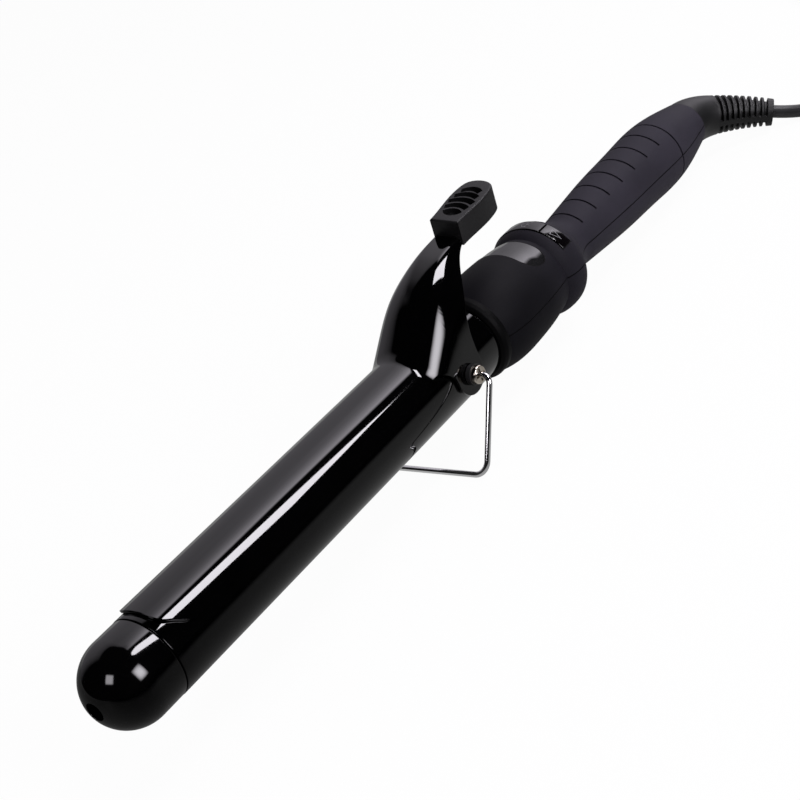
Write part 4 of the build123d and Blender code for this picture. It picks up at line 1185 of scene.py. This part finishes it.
boot_long = boot_elbow + boot_ribs
boot_steps = [boot_long * k / boot_rows for k in range(boot_rows + 1)]
centre, centres = Vector((boot_x, 0, 0)), []
for k, along in enumerate(boot_steps):
    if k:
        a = boot_turn((along + boot_steps[k - 1]) / 2)
        way = forward * math.cos(a) + sideways * math.sin(a)
        centre = centre + way * (along - boot_steps[k - 1])
    centres.append(centre.copy())
fan = [k * fan_step for k in range(72)]
web_angles = [90 + d for d in (-14, -11, -9.5, -8, 0, 8, 9.5, 11, 14)]
plain_angles = [a for a in fan if min(abs(a - 90), abs(a - 270)) > web_clear]
around = sorted(plain_angles + web_angles + [a + 180 for a in web_angles])
boot_points, along_list, outward_list, web_list = [], [], [], []
rings = [(0, -1.6), (0, -0.5)] + [(k, 0.0) for k in range(2, boot_rows)]
rings += [(boot_rows, -0.4), (boot_rows, -2.4)]
for k, shrink in rings:
    along = boot_steps[k]
    a = boot_turn(along)
    inward = -forward * math.sin(a) + sideways * math.cos(a)
    r = boot_radius(along) + shrink
    sag = Vector((0, 0, -boot_sag)) * min(1.0, along / boot_elbow)
    for degrees in around:
        b = math.radians(degrees)
        outward = cross * math.cos(b) + inward * math.sin(b)
        boot_points.append(centres[k] + sag + outward * r)
        along_list.append(along if shrink == 0 else -1.0)
        outward_list += list(outward)
        web_list.append(abs(r * math.cos(b)))
boot_faces = quads(len(rings), len(around)) + end_caps(len(rings), len(around))
boot_mesh = bpy.data.meshes.new("boot_tube")
boot_mesh.from_pydata(boot_points, [], boot_faces)
bm = bmesh.new()
bm.from_mesh(boot_mesh)
bmesh.ops.recalc_face_normals(bm, faces=bm.faces)
bm.to_mesh(boot_mesh)
bm.free()
for label, kind, field, values in (
    ("along", "FLOAT", "value", along_list),
    ("outward", "FLOAT_VECTOR", "vector", outward_list),
    ("from_web", "FLOAT", "value", web_list),
):
    boot_mesh.attributes.new(label, kind, "POINT").data.foreach_set(field, values)
print("boot tube:", len(boot_faces), "faces, tip at", [round(v, 1) for v in centres[-1]])

# %% [markdown]
# Nine slots across the boot let it flex. A node tree sinks the tube's points wherever the slots'
# rule says, away from the webs, so the slots' number, width and depth stay free to change.

# %% Slots by Geometry Nodes
slot_tree, slot_in, slot_out = new_tree(
    "boot_slots",
    {
        "First": 19.3,
        "Pitch": 2.933,
        "Count": 9,
        "Slot": 1.5,
        "Depth": 1.7,
        "Web": 1.3,
        "Edge": 0.16,
    },
)
rule = partial(maths, slot_tree)


def named(tree, label, kind="FLOAT"):
    """Read a named attribute."""
    node = tree.nodes.new("GeometryNodeInputNamedAttribute")
    node.data_type = kind
    node.inputs["Name"].default_value = label
    return node.outputs["Attribute"]


def clamped(tree, value):
    """Hold a value between 0 and 1."""
    node = tree.nodes.new("ShaderNodeClamp")
    tree.links.new(value, node.inputs["Value"])
    return node.outputs[0]


past_first = rule("SUBTRACT", named(slot_tree, "along"), slot_in["First"])
place = rule("DIVIDE", past_first, slot_in["Pitch"])
off_middle = rule("ABSOLUTE", rule("SUBTRACT", rule("FRACT", place), 0.5))
slot_half = rule("MULTIPLY", slot_in["Slot"], 0.5)
wall = rule("SUBTRACT", slot_half, rule("MULTIPLY", off_middle, slot_in["Pitch"]))
depth_share = rule(
    "DIVIDE", rule("ADD", wall, slot_in["Edge"]), rule("MULTIPLY", slot_in["Edge"], 2.0)
)
inside = rule(
    "MULTIPLY", rule("GREATER_THAN", place, 0.0), rule("LESS_THAN", place, slot_in["Count"])
)
off_web = rule("SUBTRACT", named(slot_tree, "from_web"), slot_in["Web"])
web_share = rule("DIVIDE", off_web, slot_in["Edge"])
sink = rule(
    "MULTIPLY",
    rule("MULTIPLY", clamped(slot_tree, depth_share), clamped(slot_tree, web_share)),
    rule("MULTIPLY", inside, rule("MULTIPLY", slot_in["Depth"], -1.0)),
)
push = slot_tree.nodes.new("ShaderNodeVectorMath")
push.operation = "SCALE"
move = slot_tree.nodes.new("GeometryNodeSetPosition")
wired(
    slot_tree,
    (named(slot_tree, "outward", "FLOAT_VECTOR"), push.inputs["Vector"]),
    (sink, push.inputs["Scale"]),
    (slot_in["Geometry"], move.inputs["Geometry"]),
    (push.outputs["Vector"], move.inputs["Offset"]),
)
close_tree(slot_tree, slot_in, slot_out, move.outputs["Geometry"])
boot = grow("boot", boot_mesh, slot_tree, boot_rubber)
smooth(boot.data, 35)
boot.data.transform(laid)
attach(boot, "cord_exit")
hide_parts("strain_relief")
print("boot:", len(boot.data.polygons), "faces")

# %% [markdown]
# ## Handle, keys, window, screws and pins
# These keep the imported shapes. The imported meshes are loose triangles, so a merged copy takes round
# shading with its true edges kept, and stands for the node. The keys' edges are rounded too, to
# catch a line of light.

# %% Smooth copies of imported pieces
true_edge, key_round = 32, 0.0003


def merged_copy(node):
    """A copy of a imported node's mesh with its points merged and its own shading removed."""
    bm = bmesh.new()
    bm.from_mesh(nodes[node].data)
    bmesh.ops.remove_doubles(bm, verts=bm.verts, dist=2e-6)
    mesh = bpy.data.meshes.new(node + "_skin")
    bm.to_mesh(mesh)
    bm.free()
    for label in ("custom_normal", "sharp_face"):
        if label in mesh.attributes:
            mesh.attributes.remove(mesh.attributes[label])
    return mesh


def smooth_copy(node, finish, slot, edge=0.0):
    """A round-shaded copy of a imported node, its edges rounded when asked (metres)."""
    piece = new_piece(node + "_skin", merged_copy(node), finish)
    if edge:
        rounding = piece.modifiers.new("edge", "BEVEL")
        rounding.width, rounding.segments = edge, 3
        rounding.limit_method, rounding.angle_limit = "ANGLE", math.radians(40)
        settle(piece)
    smooth(piece.data, true_edge)
    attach(piece, nodes[node]["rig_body"])
    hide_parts(node)
    return piece


copies = [
    smooth_copy(node, finish, slot, *edge)
    for node, finish, slot, *edge in (
        ("handle_upper_shell", soft_touch, "soft_touch"),
        ("handle_lower_shell", soft_touch, "soft_touch"),
        ("display_lens", window_gloss, "window"),
        ("key_down", key_gloss, "key_gloss", key_round),
        ("key_power", key_gloss, "key_gloss", key_round),
        ("key_up", key_gloss, "key_gloss", key_round),
        ("pivot_screw_near", nickel, "nickel"),
        ("pivot_screw_far", nickel, "nickel"),
        ("pivot_bush_near", black_bush, "bush_plastic"),
        ("pivot_bush_far", black_bush, "bush_plastic"),
        ("tip_screw", steel, "steel"),
        ("plug_pin_a", contact_brass, "contact_brass"),
        ("plug_pin_b", contact_brass, "contact_brass"),
    )
]
print("smooth copies:", len(copies))

# %% [markdown]
# ## Thumb tab
# The tab's five finger slots are curved bands, each running along the one before it. A merged copy
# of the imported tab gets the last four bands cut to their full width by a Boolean, in the tab's own
# slanted frame.

# %% Tab with banded slots
tab_frame = (
    Matrix.Translation((lever_rear + 0.5, 0, 38.4))
    @ Matrix.Rotation(math.radians(-4.8), 4, "Y")
    @ Matrix.Rotation(lever_roll, 4, "X")
)
slot_first, slot_pitch, slot_long = 6.5, 3.85, 6.2
band_bow, band_back, band_dip, band_inset = 2.2, 0.95, 1.5, 0.9
band_levels, band_half_steps = (8.4, 11.6), 8
slot_mids = [slot_first + slot_pitch * i for i in range(1, 5)]
slot_reach = [slot_long * share for share in (0.9, 1.0, 0.92, 0.77)]
band_shares = [k / band_half_steps - 1 for k in range(2 * band_half_steps + 1)]
band_points, band_faces = [], []
for mid, reach in zip(slot_mids, slot_reach):
    outline = [(mid + band_bow * (1 - y * y), reach * y) for y in band_shares]
    for y in reversed(band_shares):
        outline.append((mid - band_back - band_dip * y * y, (reach - band_inset) * y))
    first, count = len(band_points), len(outline)
    for level in band_levels:
        band_points += [tuple(tab_frame @ Vector((x, y, level))) for x, y in outline]
    band_faces.append(tuple(first + k for k in reversed(range(count))))
    band_faces.append(tuple(first + count + k for k in range(count)))
    for k in range(count):
        m = (k + 1) % count
        band_faces.append((first + k, first + m, first + count + m, first + count + k))
bands = new_piece("bands", mesh_of("bands", band_points, band_faces), matt_tab)
bands.data.transform(laid)
tab = new_piece("thumb_tab_skin", merged_copy("thumb_tab"), matt_tab)
cut = tab.modifiers.new("slots", "BOOLEAN")
cut.operation = "DIFFERENCE"
cut.object = bands
settle(tab)
bpy.data.objects.remove(bands)
smooth(tab.data, true_edge)
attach(tab, "clip")
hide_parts("thumb_tab")
print("tab:", len(tab.data.polygons), "faces")

# %% [markdown]
# ## Key signs
# An arrow, a power sign and an arrow stand raised on the three keys, and their edges catch the light.
# That light is painted highlight: each sign's outline is drawn flat, as a pair of lines along the
# ring, then wrapped round the ring's radius as a pale grey film a few hundredths of a millimetre
# proud of the key.

# %% Signs on the keys
key_r, key_middle, key_angle = 20.8, 80.2, 40.5
film_under, film_proud, side_steps = 0.05, 0.03, 8


def wrapped(name, strokes, middle):
    """Wrap pairs of flat lines, in millimetres, on the key ring at an angle from its top."""
    points, faces = [], []
    for outer, inside in strokes:
        first, count = len(points), len(outer)
        for r in (key_r - film_under, key_r + film_proud):
            for line in (outer, inside):
                for u, v in line:
                    a = math.radians(middle) + u / key_r
                    points.append((key_middle + v, -r * math.sin(a), r * math.cos(a)))
        low_out, low_in, top_out, top_in = (first + k * count for k in range(4))
        for k in range(count - 1):
            faces.append((top_out + k, top_out + k + 1, top_in + k + 1, top_in + k))
            faces.append((low_in + k, low_in + k + 1, low_out + k + 1, low_out + k))
            faces.append((low_out + k, low_out + k + 1, top_out + k + 1, top_out + k))
            faces.append((top_in + k, top_in + k + 1, low_in + k + 1, low_in + k))
        if outer[0] != outer[-1]:
            for k in (0, count - 1):
                faces.append((low_out + k, top_out + k, top_in + k, low_in + k))
    return mesh_of(name, points, faces)


def outlined(corners):
    """Points along a closed outline, first point again at its end."""
    line = []
    for (ua, va), (ub, vb) in zip(corners, corners[1:] + corners[:1]):
        for k in range(side_steps):
            line.append((ua + (ub - ua) * k / side_steps, va + (vb - va) * k / side_steps))
    return line + line[:1]


def arrow(way):
    """Outline of a slim triangle that points along the ring."""
    wide = outlined([(3.0 * way, 0.0), (-2.4 * way, 1.75), (-2.4 * way, -1.75)])
    slim = outlined([(2.0 * way, 0.0), (-2.05 * way, 1.25), (-2.05 * way, -1.25)])
    return [(wide, slim)]


sweep_angles = [math.radians(40 + 280 * k / 32) for k in range(33)]
power_ring = tuple(
    [(r * math.cos(a), r * math.sin(a)) for a in sweep_angles] for r in (1.75, 1.35)
)
power_bar = tuple([(0.4 + 1.8 * k / 6, side) for k in range(7)] for side in (0.2, -0.2))
for body, strokes, middle in (
    ("key_up", arrow(1), key_angle),
    ("key_power", [power_ring, power_bar], 0.0),
    ("key_down", arrow(-1), -key_angle),
):
    # Each sign's pale grey outline is painted highlight on a raised sign.
    sign_mesh = wrapped(body + "_sign", strokes, middle)
    smooth(sign_mesh, 30)
    finish_piece(body + "_sign", sign_mesh, key_sign_highlight, body, "key_gloss")
print("signs: arrow, power, arrow")

# %% [markdown]
# ## Pieces inside the iron
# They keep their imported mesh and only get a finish.

# %% Inner finishes
inner = {
    "barrel_bush": black_bush,
    "switch_strip": black_bush,
    "brush_holder": black_bush,
    "swivel_rotor": black_bush,
    "pivot_bar": steel,
    "tip_anchor": steel,
    "spring_rivet": steel,
    "heater_plate": heater_ceramic,
    "thermistor": heater_ceramic,
    "spreader_upper": spreader_alloy,
    "spreader_lower": spreader_alloy,
    "heater_lead_near": lead_sleeve,
    "heater_lead_far": lead_sleeve,
    "thermal_fuse": fuse_case,
    "control_board": board_green,
    "display_module": board_green,
    "slip_ring_front": contact_brass,
    "slip_ring_rear": contact_brass,
    "brush_front": contact_brass,
    "brush_rear": contact_brass,
}
for node, piece in nodes.items():
    if node not in inner and piece.data.materials and "screw" in node:
        inner[node] = steel
for node, finish in inner.items():
    nodes[node].data.materials.clear()
    nodes[node].data.materials.append(finish)
print("inner nodes with a finish:", len(inner))

# %% [markdown]
# ## Floor
# The photograph has a plain white ground. The floor shows white to the camera and keeps only a
# trace of shadow. Gloss black is seen by what it mirrors, and in the photograph its flanks are
# nearly black, so mirror rays see the floor dimmed: by stops across the iron and a slope along it.

# %% Floor
floor_half, shadow_hidden = 6, 0.96


def graded(tree, value, stops):
    """Look a value up in a list of places and levels."""
    low, high = stops[0][0], stops[-1][0]
    ramp = tree.nodes.new("ShaderNodeValToRGB")
    band = ramp.color_ramp
    for place, _ in stops[1:-1]:
        band.elements.new((place - low) / (high - low))
    for element, (place, level) in zip(band.elements, stops):
        element.position = (place - low) / (high - low)
        element.color = (level, level, level, 1.0)
    tree.links.new(ranged(tree, value, 0.0, 1.0, low, high), ramp.inputs["Fac"])
    return ramp.outputs["Color"]


floor_signs = ((-1, -1), (1, -1), (1, 1), (-1, 1))
floor_corners = [(x * floor_half, y * floor_half, 0) for x, y in floor_signs]
floor_mesh = bpy.data.meshes.new("floor")
floor_mesh.from_pydata(floor_corners, [], [(0, 1, 2, 3)])
floor_paint = bpy.data.materials.new("white_ground")
floor_paint.use_nodes = True
ground = floor_paint.node_tree
ground.nodes.clear()
ground_maths = partial(maths, ground)
out = ground.nodes.new("ShaderNodeOutputMaterial")
lit = ground.nodes.new("ShaderNodeBsdfDiffuse")
lit.inputs["Color"].default_value = (0.9, 0.9, 0.9, 1.0)
glow = ground.nodes.new("ShaderNodeEmission")
rays = ground.nodes.new("ShaderNodeLightPath").outputs
mixed = ground.nodes.new("ShaderNodeMixShader")
apart = ground.nodes.new("ShaderNodeSeparateXYZ")
ground.links.new(ground.nodes.new("ShaderNodeTexCoord").outputs["Object"], apart.inputs[0])
crosswise = graded(
    ground,
    apart.outputs["Y"],
    [
        (-0.24, 0.0),
        (-0.195, 0.04),
        (-0.155, 0.11),
        (-0.12, 0.19),
        (-0.06, 0.22),
        (-0.03, 0.28),
        (0.0, 0.36),
        (0.1, 0.3),
        (0.3, 0.3),
        (1.0, 0.4),
    ],
)
lengthwise = ranged(ground, apart.outputs["X"], 0.35, 1.5, -0.21, 0.06)
mirrored = ground_maths("MULTIPLY", crosswise, lengthwise)
glossy = rays["Is Glossy Ray"]
shown = ground_maths(
    "ADD", ground_maths("MULTIPLY", glossy, mirrored), ground_maths("SUBTRACT", 1.0, glossy)
)
plain = ground_maths("MAXIMUM", rays["Is Camera Ray"], rays["Is Transmission Ray"])
glowing = ground_maths("MAXIMUM", ground_maths("MULTIPLY", plain, shadow_hidden), glossy)
wired(
    ground,
    (shown, glow.inputs["Strength"]),
    (glowing, mixed.inputs["Fac"]),
    (lit.outputs[0], mixed.inputs[1]),
    (glow.outputs[0], mixed.inputs[2]),
    (mixed.outputs[0], out.inputs["Surface"]),
)
floor = new_piece("floor", floor_mesh, floor_paint)
print("floor laid")

# %% [markdown]
# ## World
# The camera sees white. All other rays see a dark studio with one wide panel, drawn by direction:
# stops round the horizon and stops upward, multiplied. Mirrored in the top of the clip and the
# barrel, the panel gives the grey band beside the bright streak.

# %% World
panel_level, dark_level = 5.0, 0.006
world = bpy.data.worlds.new("studio")
scene.world = world
world.use_nodes = True
sky = world.node_tree
sky.nodes.clear()
sky_maths = partial(maths, sky)
sky_out = sky.nodes.new("ShaderNodeOutputWorld")
sky_light = sky.nodes.new("ShaderNodeBackground")
sky_light.inputs["Color"].default_value = (1.0, 0.955, 1.04, 1)
sky_white = sky.nodes.new("ShaderNodeBackground")
sky_white.inputs["Color"].default_value = (1, 1, 1, 1)
sky_mix = sky.nodes.new("ShaderNodeMixShader")
sky_rays = sky.nodes.new("ShaderNodeLightPath").outputs
sky_apart = sky.nodes.new("ShaderNodeSeparateXYZ")
sky.links.new(sky.nodes.new("ShaderNodeTexCoord").outputs["Generated"], sky_apart.inputs[0])
sky_x, sky_y, sky_z = (sky_apart.outputs[axis] for axis in "XYZ")
turned = sky_maths("DEGREES", sky_maths("ARCTAN2", sky_y, sky_x))
height = sky_maths("DEGREES", sky_maths("ARCSINE", sky_z))
raised = sky_maths("ADD", height, ranged(sky, turned, 0.0, 7.5, 35.0, 60.0))
across = graded(
    sky,
    turned,
    [
        (-30, 0),
        (-15, 0),
        (-9, 0.95),
        (0, 0.68),
        (10, 0.42),
        (20, 0.27),
        (34, 0.17),
        (50, 0.125),
        (62, 0.11),
        (90, 0.095),
        (100, 0.06),
        (110, 0),
        (130, 0),
    ],
)
upward = graded(
    sky,
    raised,
    [
        (-30, 0.25),
        (0, 0.32),
        (15, 0.58),
        (30, 0.8),
        (45, 1.0),
        (55, 0.85),
        (60, 0.62),
        (63.5, 0),
        (80, 0),
    ],
)
panel = sky_maths("MULTIPLY", sky_maths("MULTIPLY", across, upward), panel_level)
wired(
    sky,
    (sky_maths("ADD", panel, dark_level), sky_light.inputs["Strength"]),
    (sky_rays["Is Camera Ray"], sky_mix.inputs["Fac"]),
    (sky_light.outputs[0], sky_mix.inputs[1]),
    (sky_white.outputs[0], sky_mix.inputs[2]),
    (sky_mix.outputs[0], sky_out.inputs["Surface"]),
)
print("world set")

# %% [markdown]
# ## Lamps
# Three softboxes light the iron and show in its gloss. A narrow bright one draws the streak along
# the clip, a broad one with a soft rim lights the right flank, and one to the camera's left puts
# a small square light on the tip. The brightness is given, and the power follows from the size.

# %% Lamps
aim = Vector((-0.11, 0.0, 0.05))
lamp_colour = (1.0, 0.97, 1.03)


def soft_rim(lamp, power):
    """Dim a lamp's cloth toward its rim; a higher power keeps more of it bright."""
    lamp.use_nodes = True
    cloth = lamp.node_tree
    weave = partial(maths, cloth)
    over = cloth.nodes.new("ShaderNodeSeparateXYZ")
    cloth.links.new(cloth.nodes.new("ShaderNodeNewGeometry").outputs["Parametric"], over.inputs[0])
    level = 1.0
    for side in ("X", "Y"):
        out_from = weave("ABSOLUTE", weave("MULTIPLY_ADD", over.outputs[side], 2.0, -1.0))
        level = weave("MULTIPLY", level, weave("SUBTRACT", 1.0, weave("POWER", out_from, power)))
    cloth.links.new(level, cloth.nodes["Emission"].inputs["Strength"])


def softbox(name, azimuth, elevation, far_off, wide, high, radiance, soft=0.0):
    """A rectangular lamp in a direction from the clip, of a given brightness."""
    a, e = math.radians(azimuth), math.radians(elevation)
    way = Vector((math.cos(e) * math.cos(a), math.cos(e) * math.sin(a), math.sin(e)))
    lamp = bpy.data.lights.new(name, "AREA")
    lamp.shape = "RECTANGLE"
    lamp.size, lamp.size_y = wide, high
    lamp.color = lamp_colour
    lamp.energy = radiance * math.pi * wide * high
    if soft:
        soft_rim(lamp, soft)
    holder = bpy.data.objects.new(name, lamp)
    scene.collection.objects.link(holder)
    turn = way.to_track_quat("Z", "Y").to_matrix().to_4x4()
    holder.matrix_world = Matrix.Translation(aim + way * far_off) @ turn


softbox("strip_box", -37, 48.5, 1.3, 0.235, 0.52, 18.0)
softbox("right_box", -86, 27, 1.7, 0.86, 0.98, 13.0, soft=2.6)
softbox("camera_box", -171, 41, 1.3, 0.42, 0.46, 6.2, soft=6.0)

# %% [markdown]
# ## View
# Standard view keeps colours as written.

# %% View
scene.view_settings.view_transform = "Standard"
